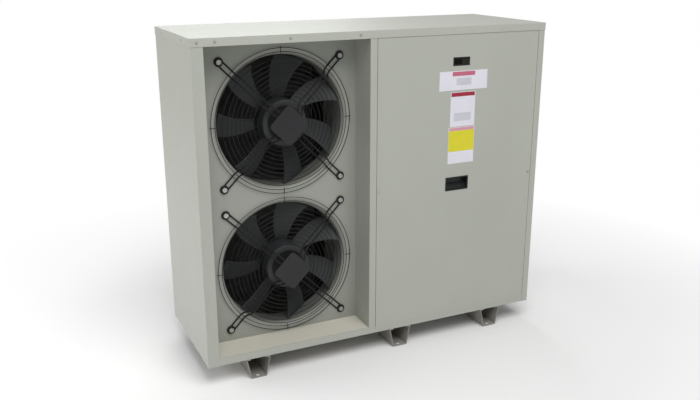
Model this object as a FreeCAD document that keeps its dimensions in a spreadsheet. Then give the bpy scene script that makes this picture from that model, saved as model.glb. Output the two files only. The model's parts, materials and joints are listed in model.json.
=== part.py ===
# Mini chiller: a sheet steel cabinet on three feet, with two axial fans in a recess on the left
# and a closed machine bay on the right. Millimetres. X runs to the right, Y to the back, Z up.
# The origin is on the floor, in the middle of the anchor holes of the outer feet.
import FreeCAD
import Part
import Sketcher

import math
import os
import re

from FreeCAD import Placement, Rotation, Vector

doc = FreeCAD.newDocument("MiniChiller")
sizes = doc.addObject("Spreadsheet::Sheet", "Sizes")
pieces = []

# Driving dimensions
SIZES = {
    # The cabinet, from the floor up
    "cabinet_width": 1500,
    "cabinet_depth": 540,
    "cabinet_height": 1250,
    "foot_height": 85,
    "foot_web": 64,
    "foot_mouth": 98,
    "foot_lip": 16,
    "foot_steel": 3,
    "foot_inset": 204,
    "middle_foot_x": 88,
    "anchor_hole": 14,
    "anchor_inset": 18,
    "bolt_head": 11,
    "bolt_height": 5,
    "base_depth": 30,
    "base_steel": 2,
    "base_lip": 24,
    "upstand": 22,
    "drain_inset": 83,
    "drain_length": 60,
    "drain_width": 12,
    "drain_gap": 28,
    "drain_run": 450,
    "panel_steel": 1.5,
    "cover_steel": 1.2,
    "cover_gap": 0.3,
    "cover_lip": 30,
    "cover_screw_head": 9,
    "cover_screw_height": 2,
    "corner_screw_inset": 25,
    "screw_row_inset": 88,
    "screw_row_pitch": 280,
    "side_screw_spacing": 300,
    # The front: returns, divider and the opening of the fan bay
    "left_return": 47,
    "left_hem": 14,
    "bay_width": 643,
    "divider_flange": 29,
    "right_return": 30,
    "rear_return": 30,
    "landing_lip": 20,
    "recess_depth": 136,
    "deck_fold": 20,
    "rail_drop": 20,
    "louvre_width": 160,
    "louvre_height": 8,
    "louvre_drop": 300,
    "louvre_run": 200,
    "pipe_clearance": 4,
    # The lift-off panel and what it carries
    "panel_gap": 2,
    "panel_depth": 16,
    "panel_overlap": 8,
    "seal_thickness": 3.7,
    "seal_width": 5,
    "seal_gap": 0.3,
    "window_width": 79,
    "window_height": 35,
    "window_offset": 2,
    "window_drop": 137.5,
    "cup_width": 110,
    "cup_height": 58,
    "cup_depth": 26,
    "cup_wall": 2,
    "cup_rim": 3,
    "cup_rim_thickness": 1.2,
    "cup_offset": 0.5,
    "cup_z": 692.5,
    "lock_inset": 10,
    "lock_z": 700,
    "lock_head": 11,
    "lock_head_thickness": 1.3,
    "lock_stud": 7,
    "lock_play": 0.5,
    "lock_reach": 32,
    # The fans and their guards
    "fan_offset": 9.5,
    "fan_pitch": 586,
    "fan_middle_drop": 12,
    "throat_radius": 255,
    "flare_radius": 283,
    "throat_depth": 92,
    "guard_wire": 6,
    "guard_ring_wire": 3,
    "guard_outer_radius": 283,
    "guard_rim_pitch": 15,
    "guard_ring_inset": 37,
    "guard_ring_pitch": 17,
    "guard_rings": 10,
    "guard_ring_sides": 20,
    "guard_foot_inset": 21,
    "guard_slope_run": 22,
    "guard_rise": 28,
    "guard_neck_radius": 100,
    "plate_rise": 75,
    "guard_arm_gap": 21,
    "guard_spoke": 26,
    "guard_spoke_outer": 5,
    "eyelet_radius": 342,
    "eyelet_outer": 17.5,
    "eyelet_inner": 10,
    "guard_weld": 0.5,
    "guard_screw_head": 13,
    "guard_screw_height": 5,
    "guard_screw_shank": 7,
    "guard_standoff": 0.3,
    "plate_side": 116,
    "plate_corner": 16,
    "plate_thickness": 3,
    "stator_radius": 61,
    "stator_flange_radius": 50,
    "stator_flange": 8,
    "stator_neck_radius": 30,
    "air_gap": 1,
    "rotor_wall": 8,
    "rotor_front": 29,
    "rotor_length": 92,
    "shaft_radius": 6,
    "bearing_radius": 14,
    "bearing_width": 9,
    "bearing_seat": 4,
    "running_gap": 0.05,
    "hub_radius": 90,
    "press_gap": 0.1,
    "blade_count": 7,
    "blade_radius": 250,
    "blade_front": 10,
    "blade_depth": 74,
    "blade_camber": 6,
    "blade_thickness": 3.5,
    "blade_root_angle": 13.4,
    "blade_tip_angle": 11.8,
    "blade_sweep": 8.5,
    "blade_turn": 4,
    # The condenser
    "coil_side_gap": 14,
    "coil_foot_gap": 10,
    "coil_thickness": 66,
    "coil_rear_gap": 12,
    "end_plate": 2,
    "gas_header_radius": 14,
    "liquid_header_radius": 8,
    "grille_wire": 5,
    "grille_pitch": 90,
    "grille_margin": 12,
    # The refrigerant circuit
    "compressor_inset": 143.5,
    "compressor_y": 50,
    "compressor_radius": 82,
    "compressor_height": 400,
    "compressor_plate": 5,
    "compressor_plate_margin": 16,
    "shell_shoulder": 25,
    "rubber_height": 22,
    "rubber_radius": 14,
    "mount_spacing": 190,
    "terminal_width": 76,
    "terminal_height": 90,
    "terminal_depth": 34,
    "terminal_z": 337,
    "accumulator_spacing": 165,
    "accumulator_radius": 48,
    "accumulator_height": 260,
    "accumulator_shoulder": 16,
    "exchanger_inset": 92,
    "exchanger_rear_gap": 17,
    "exchanger_z": 160,
    "exchanger_width": 140,
    "exchanger_depth": 120,
    "exchanger_height": 580,
    "exchanger_leg_inset": 8,
    "drier_spacing": 148,
    "drier_radius": 26,
    "drier_length": 130,
    "drier_shoulder": 18,
    "valve_rise": 70,
    "valve_drop": 45,
    "valve_body": 32,
    "valve_height": 44,
    "valve_head": 44,
    "valve_head_height": 14,
    "gas_pipe": 9.5,
    "liquid_pipe": 6.5,
    "gas_drop": 185,
    "liquid_z": 235,
    "suction_z": 430,
    "suction_link_z": 250,
    "pipe_bend": 30,
    "header_end_gap": 60,
    "header_branch": 4,
    # The water circuit
    "water_stub": 20.95,
    "water_pipe": 19,
    "water_bore": 17,
    "water_clearance": 3,
    "stub_reach": 45,
    "pump_spacing": 70,
    "pump_offset": 40,
    "pump_radius": 62,
    "volute_height": 60,
    "pump_motor_radius": 48,
    "pump_motor_height": 120,
    "pump_foot": 100,
    "pump_foot_height": 8,
    "pump_branch": 15,
    "outlet_offset": 20,
    "water_z": 215,
    "vessel_radius": 95,
    "vessel_height": 260,
    "vessel_y": -95,
    "vessel_z": 420,
    "vessel_shoulder": 34,
    "vessel_pipe": 5,
    "vessel_pipe_z": 330,
    # The electrical box and the controller
    "box_front_gap": 28.5,
    "box_depth": 150,
    "box_top_gap": 60,
    "box_height": 315,
    "box_steel": 1.5,
    "turret_width": 110,
    "turret_height": 64,
    "controller_width": 76,
    "controller_height": 32,
    "controller_depth": 60,
    "controller_lap": 2,
    "controller_play": 0.5,
    "bezel_thickness": 4,
    "key_width": 8,
    "key_height": 6,
    "key_travel": 1,
    "key_play": 0.4,
    "key_edge": 12,
    "key_pitch_x": 12,
    "key_pitch_z": 14,
    "gland_bore": 9,
    "gland_inset": 128.5,
    "gland_z": 330,
    "gland_wall": 3,
    "gland_hexagon": 19,
    "gland_nut": 5,
    "gland_collar": 8,
    "gland_dome": 14,
    "gland_lip": 1,
}
for row, (name, number) in enumerate(SIZES.items(), start=1):
    sizes.set(f"A{row}", str(number))
    sizes.setAlias(f"A{row}", name)
doc.recompute()

# Faces and edges that several pieces share
FACE_X = "(cabinet_width / 2 - cover_steel - cover_gap)"
FACE_Y = "(cabinet_depth / 2 - cover_steel - cover_gap)"
INNER_X = f"({FACE_X} - panel_steel)"
INNER_Y = f"({FACE_Y} - panel_steel)"
BASE_TOP = "(foot_height + base_depth)"
ROOF = "(foot_height + cabinet_height - cover_steel)"
LIP_BOTTOM = "(foot_height + cabinet_height - cover_lip)"
BAY_LEFT = "(left_return - cabinet_width / 2)"
BAY_RIGHT = f"({BAY_LEFT} + bay_width)"
PANEL_LEFT = f"({BAY_RIGHT} + divider_flange)"
PANEL_RIGHT = "(cabinet_width / 2 - right_return)"
LANDING = f"(panel_depth + seal_thickness + seal_gap - {FACE_Y})"
DECK_FRONT = "(recess_depth - cabinet_depth / 2)"
FAN_X = f"({BAY_LEFT} + bay_width / 2 + fan_offset)"
FAN_MIDDLE_Z = f"(({BASE_TOP} + {LIP_BOTTOM}) / 2 - fan_middle_drop)"
LOWER_FAN_Z = f"({FAN_MIDDLE_Z} - fan_pitch / 2)"
UPPER_FAN_Z = f"({FAN_MIDDLE_Z} + fan_pitch / 2)"
EDGE_BOTTOM = f"({BASE_TOP} + 2 * panel_gap)"
EDGE_TOP = f"({LIP_BOTTOM} - panel_overlap)"
GUARD_FRONT = f"({DECK_FRONT} - guard_standoff - plate_rise - guard_wire)"
COIL_REAR = f"({INNER_Y} - coil_rear_gap)"
BOX_LEFT = f"({BAY_RIGHT} + panel_steel)"
BOX_FRONT = f"({FACE_Y} - box_front_gap)"
BOX_TOP = "(foot_height + cabinet_height - box_top_gap)"
BOX_BOTTOM = f"({BOX_TOP} - box_height)"
PANEL_MIDDLE = f"(({PANEL_LEFT} + {PANEL_RIGHT}) / 2)"
WINDOW_X = f"({PANEL_MIDDLE} + window_offset)"
WINDOW_Z = "(foot_height + cabinet_height - window_drop)"
CUP_X = f"({PANEL_MIDDLE} - cup_offset)"
GAS_Z = "(foot_height + cabinet_height - gas_drop)"
COMPRESSOR_X = f"({BOX_LEFT} + compressor_inset)"
EXCHANGER_X = f"({INNER_X} - exchanger_inset)"
EXCHANGER_Y = f"({INNER_Y} - exchanger_rear_gap - exchanger_depth / 2)"
EXCHANGER_SIDE = f"({EXCHANGER_X} - exchanger_width / 2)"
PUMP_X = f"({EXCHANGER_SIDE} - pump_spacing)"
PUMP_Y = f"({EXCHANGER_Y} - pump_offset)"
ACCUMULATOR_X = f"({COMPRESSOR_X} + accumulator_spacing)"
DRIER_X = f"({EXCHANGER_SIDE} - drier_spacing)"
VALVE_Z = "(exchanger_z + exchanger_height - valve_drop)"
DRIER_Z = f"({VALVE_Z} - valve_rise - drier_length)"
OUTLET_X = f"({EXCHANGER_X} + outlet_offset)"
GLAND_X = f"({BOX_LEFT} + gland_inset)"


def linked(text):
    """The expression with each size name pointing into the sheet."""
    return re.sub(r"[a-z_]+", lambda found: f"Sizes.{found[0]}" if found[0] in SIZES else found[0], text)


def value(text):
    """The number that an expression of sizes gives now."""
    return float(sizes.evalExpression(linked(text)))


def new_body(name):
    body = doc.addObject("PartDesign::Body", name)
    body.Label = name
    pieces.append(body)
    return body


def new_sketch(body, plane, offset):
    """A sketch on one of the body's own planes, moved along that plane's normal."""
    sketch = body.newObject("Sketcher::SketchObject", f"{body.Name}_sketch")
    support = [entry for entry in body.Origin.OriginFeatures if entry.Role == plane]
    sketch.AttachmentSupport = [(support[0], "")]
    sketch.MapMode = "FlatFace"
    sketch.setExpression("AttachmentOffset.Base.z", linked(offset))
    return sketch


def edge_between(start, end, arc):
    """A line, or an arc of a given radius whose turn is +1 for counter-clockwise."""
    if arc is None:
        return Part.LineSegment(start, end)
    radius, turn = arc
    chord = end - start
    across = Vector(-chord.y, chord.x, 0).normalize() * turn
    centre = start + chord / 2 + across * math.sqrt(radius**2 - chord.Length**2 / 4)
    circle = Part.Circle(centre, Vector(0, 0, 1), radius)
    return Part.ArcOfCircle(circle, *arc_angles(centre, start, end, turn))


def arc_angles(centre, start, end, turn):
    """Start and end angle of the counter-clockwise arc that covers the edge."""
    first = math.atan2(start.y - centre.y, start.x - centre.x)
    last = math.atan2(end.y - centre.y, end.x - centre.x)
    return (first, last) if turn > 0 else (last, first)


def draw(sketch, corners):
    """A closed outline. A corner is (x, y), or (x, y, radius, turn) where an arc leaves it."""
    points = [Vector(value(corner[0]), value(corner[1]), 0) for corner in corners]
    count = len(corners)
    edges = []
    for index, corner in enumerate(corners):
        arc = (value(corner[2]), corner[3]) if len(corner) > 2 else None
        geometry = edge_between(points[index], points[(index + 1) % count], arc)
        number = sketch.addGeometry(geometry, False)
        edges.append((number, 2, 1) if arc and corner[3] < 0 else (number, 1, 2))
    for index, corner in enumerate(corners):
        number, start, end = edges[index]
        after, after_start, _ = edges[(index + 1) % count]
        sketch.addConstraint(Sketcher.Constraint("Coincident", number, end, after, after_start))
        for kind, text in (("DistanceX", corner[0]), ("DistanceY", corner[1])):
            made = sketch.addConstraint(Sketcher.Constraint(kind, -1, 1, number, start, value(text)))
            sketch.setExpression(f"Constraints[{made}]", linked(text))
        if len(corner) > 2:
            made = sketch.addConstraint(Sketcher.Constraint("Radius", number, value(corner[2])))
            sketch.setExpression(f"Constraints[{made}]", linked(corner[2]))


def draw_circles(sketch, centres, radius):
    for x, y in centres:
        circle = Part.Circle(Vector(value(x), value(y), 0), Vector(0, 0, 1), value(radius))
        number = sketch.addGeometry(circle, False)
        for kind, text in (("DistanceX", x), ("DistanceY", y)):
            made = sketch.addConstraint(Sketcher.Constraint(kind, -1, 1, number, 3, value(text)))
            sketch.setExpression(f"Constraints[{made}]", linked(text))
        made = sketch.addConstraint(Sketcher.Constraint("Radius", number, value(radius)))
        sketch.setExpression(f"Constraints[{made}]", linked(radius))


def rectangle(left, low, right, high):
    return [(left, low), (right, low), (right, high), (left, high)]


def slab(body, plane, corners, start, end):
    """Material between two positions along the plane's axis. The XZ plane's normal points to the front."""
    offset = f"-({end})" if plane == "XZ_Plane" else start
    sketch = new_sketch(body, plane, offset)
    draw(sketch, corners)
    pad = body.newObject("PartDesign::Pad", f"{body.Name}_pad")
    pad.Profile = sketch
    pad.setExpression("Length", linked(f"({end}) - ({start})"))
    return pad


def cut(body, plane, start, end, corners=None, holes=None, radius=None):
    """Takes away an outline or round holes between two positions along the plane's axis."""
    offset = f"-({start})" if plane == "XZ_Plane" else end
    sketch = new_sketch(body, plane, offset)
    if corners:
        draw(sketch, corners)
    else:
        draw_circles(sketch, holes, radius)
    pocket = body.newObject("PartDesign::Pocket", f"{body.Name}_pocket")
    pocket.Profile = sketch
    pocket.setExpression("Length", linked(f"({end}) - ({start})"))
    return pocket


def turned(name, plane, profile, x="0", y="0", z="0"):
    """A body turned from a (radius, height) outline: about Z on the XZ plane, about Y on the XY plane."""
    body = new_body(name)
    sketch = new_sketch(body, plane, "0")
    draw(sketch, profile)
    revolution = body.newObject("PartDesign::Revolution", f"{name}_turn")
    revolution.Profile = sketch
    revolution.ReferenceAxis = (sketch, ["V_Axis"])
    revolution.Angle = 360
    place(body, x, y, z)
    return body


def place(body, x="0", y="0", z="0"):
    for axis, text in (("x", x), ("y", y), ("z", z)):
        body.setExpression(f".Placement.Base.{axis}", linked(text))


def repeat(body, feature, axis, length, count):
    """Copies a feature along one of the body's axes."""
    pattern = body.newObject("PartDesign::LinearPattern", f"{body.Name}_row")
    pattern.Originals = feature if isinstance(feature, list) else [feature]
    line = [entry for entry in body.Origin.OriginFeatures if entry.Role == axis]
    pattern.Direction = (line[0], [""])
    pattern.setExpression("Length", linked(length))
    pattern.Occurrences = count
    body.Tip = pattern
    return pattern


def add_shape(name, shape, placement=Placement()):
    """A sub-part whose shape is worked out in code from the sheet's sizes."""
    feature = doc.addObject("Part::Feature", name)
    feature.Label = name
    feature.Shape = shape
    feature.Placement = placement
    pieces.append(feature)
    return feature


def block(low, high):
    """A box between two corners given as expressions."""
    start = Vector(*(value(text) for text in low))
    end = Vector(*(value(text) for text in high))
    return Part.makeBox(end.x - start.x, end.y - start.y, end.z - start.z, start)


def upright(x, y, radius):
    """A tall cylinder a small clearance wider than a round piece, to shape what sits against it."""
    foot_point = Vector(value(x), value(y), 0)
    return Part.makeCylinder(value(f"{radius} + seal_gap"), value("cabinet_height"), foot_point)


def rod(start, end, radius):
    return Part.makeCylinder(radius, (end - start).Length, start, end - start)


# Casing


def base_tray():
    """A pan turned over: top sheet, skirts, lips turned in above the feet, an upstand at the front."""
    body = new_body("base_tray")
    slab(body, "XY_Plane", rectangle(f"-{INNER_X}", f"-{INNER_Y}", INNER_X, INNER_Y), "foot_height", BASE_TOP)
    side = f"({INNER_X} - base_steel)"
    front = f"({INNER_Y} - base_steel)"
    inside = rectangle(f"-{side}", f"-{front}", side, front)
    cut(body, "XY_Plane", "foot_height", f"{BASE_TOP} - base_steel", inside)
    lip_top = "foot_height + base_steel"
    lip_edge = f"({INNER_Y} - base_lip)"
    slab(body, "XY_Plane", rectangle(f"-{side}", lip_edge, side, front), "foot_height", lip_top)
    slab(body, "XY_Plane", rectangle(f"-{side}", f"-{front}", side, f"-{lip_edge}"), "foot_height", lip_top)
    left = f"{PANEL_LEFT} + landing_lip + panel_gap"
    right = f"{PANEL_RIGHT} - landing_lip - panel_gap"
    upstand = rectangle(left, LANDING, right, f"{LANDING} + panel_steel")
    slab(body, "XY_Plane", upstand, f"{BASE_TOP} - base_steel", f"{BASE_TOP} + upstand")
    drain_left = f"{BAY_LEFT} + drain_inset"
    drain_back = f"{COIL_REAR} - drain_gap"
    drain = rectangle(drain_left, f"{drain_back} - drain_width", f"{drain_left} + drain_length", drain_back)
    slot = cut(body, "XY_Plane", f"{BASE_TOP} - base_steel", BASE_TOP, drain)
    repeat(body, slot, "X_Axis", "drain_run", 4)


def foot(name, x):
    """A folded channel, open upwards, with sloping walls, turned-in lips and an anchor hole at each end."""
    body = new_body(name)
    wall = "foot_steel"
    section = [
        ("-foot_web / 2", "0"),
        ("foot_web / 2", "0"),
        ("foot_mouth / 2", "foot_height"),
        ("foot_mouth / 2 - foot_lip", "foot_height"),
        ("foot_mouth / 2 - foot_lip", f"foot_height - {wall}"),
        (f"foot_mouth / 2 - {wall}", f"foot_height - {wall}"),
        (f"foot_web / 2 - {wall}", wall),
        (f"{wall} - foot_web / 2", wall),
        (f"{wall} - foot_mouth / 2", f"foot_height - {wall}"),
        ("foot_lip - foot_mouth / 2", f"foot_height - {wall}"),
        ("foot_lip - foot_mouth / 2", "foot_height"),
        ("-foot_mouth / 2", "foot_height"),
    ]
    slab(body, "XZ_Plane", section, "-cabinet_depth / 2", "cabinet_depth / 2")
    end = "(cabinet_depth / 2 - anchor_inset)"
    cut(body, "XY_Plane", "0", wall, holes=[("0", f"-{end}"), ("0", end)], radius="anchor_hole / 2")
    place(body, x)


def foot_bolts():
    """Four hexagon bolt heads under the lips of each foot, where they meet the lips of the base."""
    height = value("bolt_height")
    top = value("foot_height - foot_steel")
    across = value("foot_mouth / 2 - foot_lip * 0.65")
    along = value(f"{INNER_Y} - base_lip / 2")
    solids = []
    for x in ("foot_inset - cabinet_width / 2", "middle_foot_x", "cabinet_width / 2 - foot_inset"):
        for x_side in (-1, 1):
            for y_side in (-1, 1):
                head = polygon_prism(6, value("bolt_head / 2"), 0, height)
                head.rotate(Vector(0, 0, 0), Vector(1, 0, 0), 90)
                head.translate(Vector(value(x) + x_side * across, y_side * along, top - height))
                solids.append(head)
    add_shape("foot_bolts", Part.makeCompound(solids))


def left_side_panel():
    """The side sheet, folded round into the front return and the rear flange."""
    body = new_body("left_side_panel")
    sheet = "panel_steel"
    section = [
        (f"-{FACE_X}", f"-{FACE_Y}"),
        (BAY_LEFT, f"-{FACE_Y}"),
        (BAY_LEFT, f"-{INNER_Y}"),
        (f"-{INNER_X}", f"-{INNER_Y}"),
        (f"-{INNER_X}", INNER_Y),
        (f"rear_return - {FACE_X}", INNER_Y),
        (f"rear_return - {FACE_X}", FACE_Y),
        (f"-{FACE_X}", FACE_Y),
    ]
    slab(body, "XY_Plane", section, "foot_height", ROOF)
    hem = rectangle(f"{BAY_LEFT} - {sheet}", f"-{FACE_Y}", BAY_LEFT, f"left_hem - {FACE_Y}")
    slab(body, "XY_Plane", hem, BASE_TOP, LIP_BOTTOM)


def right_side_panel():
    """The other side sheet. Its front return steps back to a lip on which the access panel lands."""
    body = new_body("right_side_panel")
    section = [
        (FACE_X, f"-{FACE_Y}"),
        (FACE_X, FACE_Y),
        (f"{FACE_X} - rear_return", FACE_Y),
        (f"{FACE_X} - rear_return", INNER_Y),
        (INNER_X, INNER_Y),
        (INNER_X, f"-{INNER_Y}"),
        (PANEL_RIGHT, f"-{INNER_Y}"),
        (PANEL_RIGHT, f"-{FACE_Y}"),
    ]
    slab(body, "XY_Plane", section, "foot_height", ROOF)
    step = [
        (PANEL_RIGHT, f"-{FACE_Y}"),
        (f"{PANEL_RIGHT} + panel_steel", f"-{FACE_Y}"),
        (f"{PANEL_RIGHT} + panel_steel", f"{LANDING} + panel_steel"),
        (f"{PANEL_RIGHT} - landing_lip", f"{LANDING} + panel_steel"),
        (f"{PANEL_RIGHT} - landing_lip", LANDING),
        (PANEL_RIGHT, LANDING),
    ]
    slab(body, "XY_Plane", step, BASE_TOP, LIP_BOTTOM)
    lock_hole(body, f"{PANEL_RIGHT} - panel_gap - lock_inset")


def lock_hole(body, x):
    """The hole in a landing lip that takes a lock's stud."""
    radius = "lock_stud / 2 + lock_play"
    cut(body, "XZ_Plane", LANDING, f"{LANDING} + panel_steel", holes=[(x, "lock_z")], radius=radius)


def fan_bay_divider():
    """The wall between the two bays, with its front flange, a landing lip and a rear flange."""
    body = new_body("fan_bay_divider")
    wall = f"({BAY_RIGHT} + panel_steel)"
    section = [
        (BAY_RIGHT, f"-{FACE_Y}"),
        (PANEL_LEFT, f"-{FACE_Y}"),
        (PANEL_LEFT, LANDING),
        (f"{PANEL_LEFT} + landing_lip", LANDING),
        (f"{PANEL_LEFT} + landing_lip", f"{LANDING} + panel_steel"),
        (f"{PANEL_LEFT} - panel_steel", f"{LANDING} + panel_steel"),
        (f"{PANEL_LEFT} - panel_steel", f"-{INNER_Y}"),
        (wall, f"-{INNER_Y}"),
        (wall, f"{INNER_Y} - panel_steel"),
        (f"{BAY_RIGHT} + rear_return", f"{INNER_Y} - panel_steel"),
        (f"{BAY_RIGHT} + rear_return", INNER_Y),
        (BAY_RIGHT, INNER_Y),
    ]
    slab(body, "XY_Plane", section, BASE_TOP, LIP_BOTTOM)
    above = rectangle(BAY_RIGHT, f"{LANDING} + 2 * panel_steel", wall, INNER_Y)
    slab(body, "XY_Plane", above, LIP_BOTTOM, ROOF)
    lock_hole(body, f"{PANEL_LEFT} + panel_gap + lock_inset")
    cut(body, "YZ_Plane", BAY_RIGHT, wall, holes=[(GAS_Y, GAS_Z)], radius="gas_pipe + pipe_clearance")
    liquid_hole = [(LIQUID_Y, "liquid_z")]
    cut(body, "YZ_Plane", BAY_RIGHT, wall, holes=liquid_hole, radius="liquid_pipe + pipe_clearance")


def front_rail():
    """The channel behind the cover's front lip, with a leg on which the access panel's top lands."""
    body = new_body("front_rail")
    section = [
        (f"-{FACE_Y}", LIP_BOTTOM),
        (f"-{INNER_Y}", LIP_BOTTOM),
        (f"-{INNER_Y}", f"{ROOF} - panel_steel"),
        (f"{LANDING} + panel_steel", f"{ROOF} - panel_steel"),
        (f"{LANDING} + panel_steel", ROOF),
        (f"-{FACE_Y}", ROOF),
    ]
    slab(body, "YZ_Plane", section, BAY_LEFT, PANEL_RIGHT)
    leg = rectangle(LANDING, f"{LIP_BOTTOM} - rail_drop", f"{LANDING} + panel_steel", ROOF)
    left = f"{PANEL_LEFT} + landing_lip + panel_gap"
    slab(body, "YZ_Plane", leg, left, f"{PANEL_RIGHT} - landing_lip - panel_gap")


def top_cover():
    """A shallow lid whose lips reach down over the panels."""
    body = new_body("top_cover")
    across = "cabinet_width / 2"
    along = "cabinet_depth / 2"
    top = "foot_height + cabinet_height"
    slab(body, "XY_Plane", rectangle(f"-{across}", f"-{along}", across, along), LIP_BOTTOM, top)
    inner_x = "(cabinet_width / 2 - cover_steel)"
    inner_y = "(cabinet_depth / 2 - cover_steel)"
    cut(body, "XY_Plane", LIP_BOTTOM, ROOF, rectangle(f"-{inner_x}", f"-{inner_y}", inner_x, inner_y))


def rear_panel():
    """The panel behind the machine bay, with louvre slots and holes for the water stubs and the gland."""
    body = new_body("rear_panel")
    left = f"({BAY_RIGHT} + panel_steel)"
    right = f"({FACE_X} - rear_return)"
    bottom = f"({BASE_TOP} - panel_overlap)"
    slab(body, "XZ_Plane", rectangle(left, bottom, right, ROOF), INNER_Y, FACE_Y)
    stubs = [(PUMP_X, "water_z"), (OUTLET_X, "water_z")]
    cut(body, "XZ_Plane", INNER_Y, FACE_Y, holes=stubs, radius="water_pipe + water_clearance")
    cut(body, "XZ_Plane", INNER_Y, FACE_Y, holes=[(GLAND_X, "gland_z")], radius="gland_bore + gland_wall")
    slot_z = f"{BOX_BOTTOM} - louvre_drop + louvre_height / 2"
    slot = centred(COMPRESSOR_X, slot_z, "louvre_width", "louvre_height")
    louvre = cut(body, "XZ_Plane", INNER_Y, FACE_Y, slot)
    repeat(body, louvre, "Z_Axis", "louvre_run", 11)


def fan_deck():
    """The recessed plate that carries both fans, folded back at its sides, with two pressed bell-mouths."""
    body = new_body("fan_deck")
    left = f"-{INNER_X}"
    back = f"({DECK_FRONT} + panel_steel)"
    slab(body, "XZ_Plane", rectangle(left, BASE_TOP, BAY_RIGHT, ROOF), DECK_FRONT, back)
    fold = f"({DECK_FRONT} + deck_fold)"
    slab(body, "XZ_Plane", rectangle(left, BASE_TOP, f"{left} + panel_steel", ROOF), back, fold)
    slab(body, "XZ_Plane", rectangle(f"{BAY_RIGHT} - panel_steel", BASE_TOP, BAY_RIGHT, ROOF), back, fold)
    centre = [(FAN_X, LOWER_FAN_Z)]
    hole = cut(body, "XZ_Plane", DECK_FRONT, back, holes=centre, radius="flare_radius")
    mouth = bell_mouth(body)
    repeat(body, [hole, mouth], "Z_Axis", "fan_pitch", 2)


def bell_mouth(body):
    """The flared ring of the lower fan: an inlet in two slopes that runs into a straight throat."""
    sketch = new_sketch(body, "YZ_Plane", FAN_X)
    axis_z = LOWER_FAN_Z
    flare = "(flare_radius - throat_radius)"
    inner = f"{axis_z} + throat_radius"
    outer = f"{axis_z} + throat_radius + panel_steel"
    rim = f"{axis_z} + flare_radius"
    waist = f"{axis_z} + throat_radius + {flare} * 0.3"
    profile = [
        (DECK_FRONT, rim),
        (f"{DECK_FRONT} + {flare} * 0.3", waist),
        (f"{DECK_FRONT} + {flare}", inner),
        (f"{DECK_FRONT} + throat_depth", inner),
        (f"{DECK_FRONT} + throat_depth", outer),
        (f"{DECK_FRONT} + {flare}", outer),
        (f"{DECK_FRONT} + {flare} * 0.3 + panel_steel", f"{waist} + panel_steel"),
        (f"{DECK_FRONT} + panel_steel", rim),
    ]
    draw(sketch, profile)
    height = value(axis_z)
    ends = Vector(0, height, 0), Vector(value("throat_depth"), height, 0)
    axis = sketch.addGeometry(Part.LineSegment(*ends), True)
    sketch.addConstraint(Sketcher.Constraint("Horizontal", axis))
    made = sketch.addConstraint(Sketcher.Constraint("DistanceY", -1, 1, axis, 1, height))
    sketch.setExpression(f"Constraints[{made}]", linked(axis_z))
    ring = body.newObject("PartDesign::Revolution", "bell_mouth_turn")
    ring.Profile = sketch
    ring.ReferenceAxis = (sketch, ["Axis0"])
    ring.Angle = 360
    return ring


def access_panel():
    """The lift-off panel: a face with edges turned back, a window and holes for pull cup and locks."""
    body = new_body("access_panel")
    left = f"({PANEL_LEFT} + panel_gap)"
    right = f"({PANEL_RIGHT} - panel_gap)"
    bottom = f"({BASE_TOP} - panel_overlap)"
    top = f"({LIP_BOTTOM} - panel_gap / 2)"
    slab(body, "XZ_Plane", rectangle(left, bottom, right, top), f"-{FACE_Y}", f"-{INNER_Y}")
    edges = rectangle(left, EDGE_BOTTOM, right, EDGE_TOP)
    slab(body, "XZ_Plane", edges, f"-{INNER_Y}", f"panel_depth - {FACE_Y}")
    inside = rectangle(
        f"{left} + panel_steel",
        f"{EDGE_BOTTOM} + panel_steel",
        f"{right} - panel_steel",
        f"{EDGE_TOP} - panel_steel",
    )
    cut(body, "XZ_Plane", f"-{INNER_Y}", f"panel_depth - {FACE_Y}", inside)
    window = centred(WINDOW_X, WINDOW_Z, "window_width", "window_height")
    cut(body, "XZ_Plane", f"-{FACE_Y}", f"-{INNER_Y}", window)
    cup = centred(CUP_X, "cup_z", "cup_width - 2 * cup_rim", "cup_height - 2 * cup_rim")
    cut(body, "XZ_Plane", f"-{FACE_Y}", f"-{INNER_Y}", cup)
    locks = [(f"{left} + lock_inset", "lock_z"), (f"{right} - lock_inset", "lock_z")]
    cut(body, "XZ_Plane", f"-{FACE_Y}", f"-{INNER_Y}", holes=locks, radius="lock_stud / 2 + running_gap")


def centred(x, z, width, height):
    return rectangle(
        f"{x} - ({width}) / 2",
        f"{z} - ({height}) / 2",
        f"{x} + ({width}) / 2",
        f"{z} + ({height}) / 2",
    )


def pull_cup():
    """A moulded finger pull: a rim on the panel and a cup whose back slopes down to the lower edge."""
    body = new_body("pull_cup")
    rim = centred(CUP_X, "cup_z", "cup_width", "cup_height")
    slab(body, "XZ_Plane", rim, f"-{FACE_Y} - cup_rim_thickness", f"-{FACE_Y}")
    half = "(cup_height / 2 - cup_rim - seal_gap)"
    front = f"-{FACE_Y}"
    deep = f"(cup_depth - {FACE_Y})"
    shallow = f"(cup_depth / 3 - {FACE_Y})"
    shell = [
        (front, f"cup_z - {half}"),
        (shallow, f"cup_z - {half}"),
        (deep, "cup_z"),
        (deep, f"cup_z + {half}"),
        (front, f"cup_z + {half}"),
    ]
    side = "(cup_width / 2 - cup_rim - seal_gap)"
    slab(body, "YZ_Plane", shell, f"{CUP_X} - {side}", f"{CUP_X} + {side}")
    hollow = [
        (f"{front} - cup_rim_thickness", f"cup_z - {half} + cup_wall"),
        (f"{shallow} - cup_wall", f"cup_z - {half} + cup_wall"),
        (f"{deep} - cup_wall", "cup_z"),
        (f"{deep} - cup_wall", f"cup_z + {half} - cup_wall"),
        (f"{front} - cup_rim_thickness", f"cup_z + {half} - cup_wall"),
    ]
    cut(body, "YZ_Plane", f"{CUP_X} - {side} + cup_wall", f"{CUP_X} + {side} - cup_wall", hollow)


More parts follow.
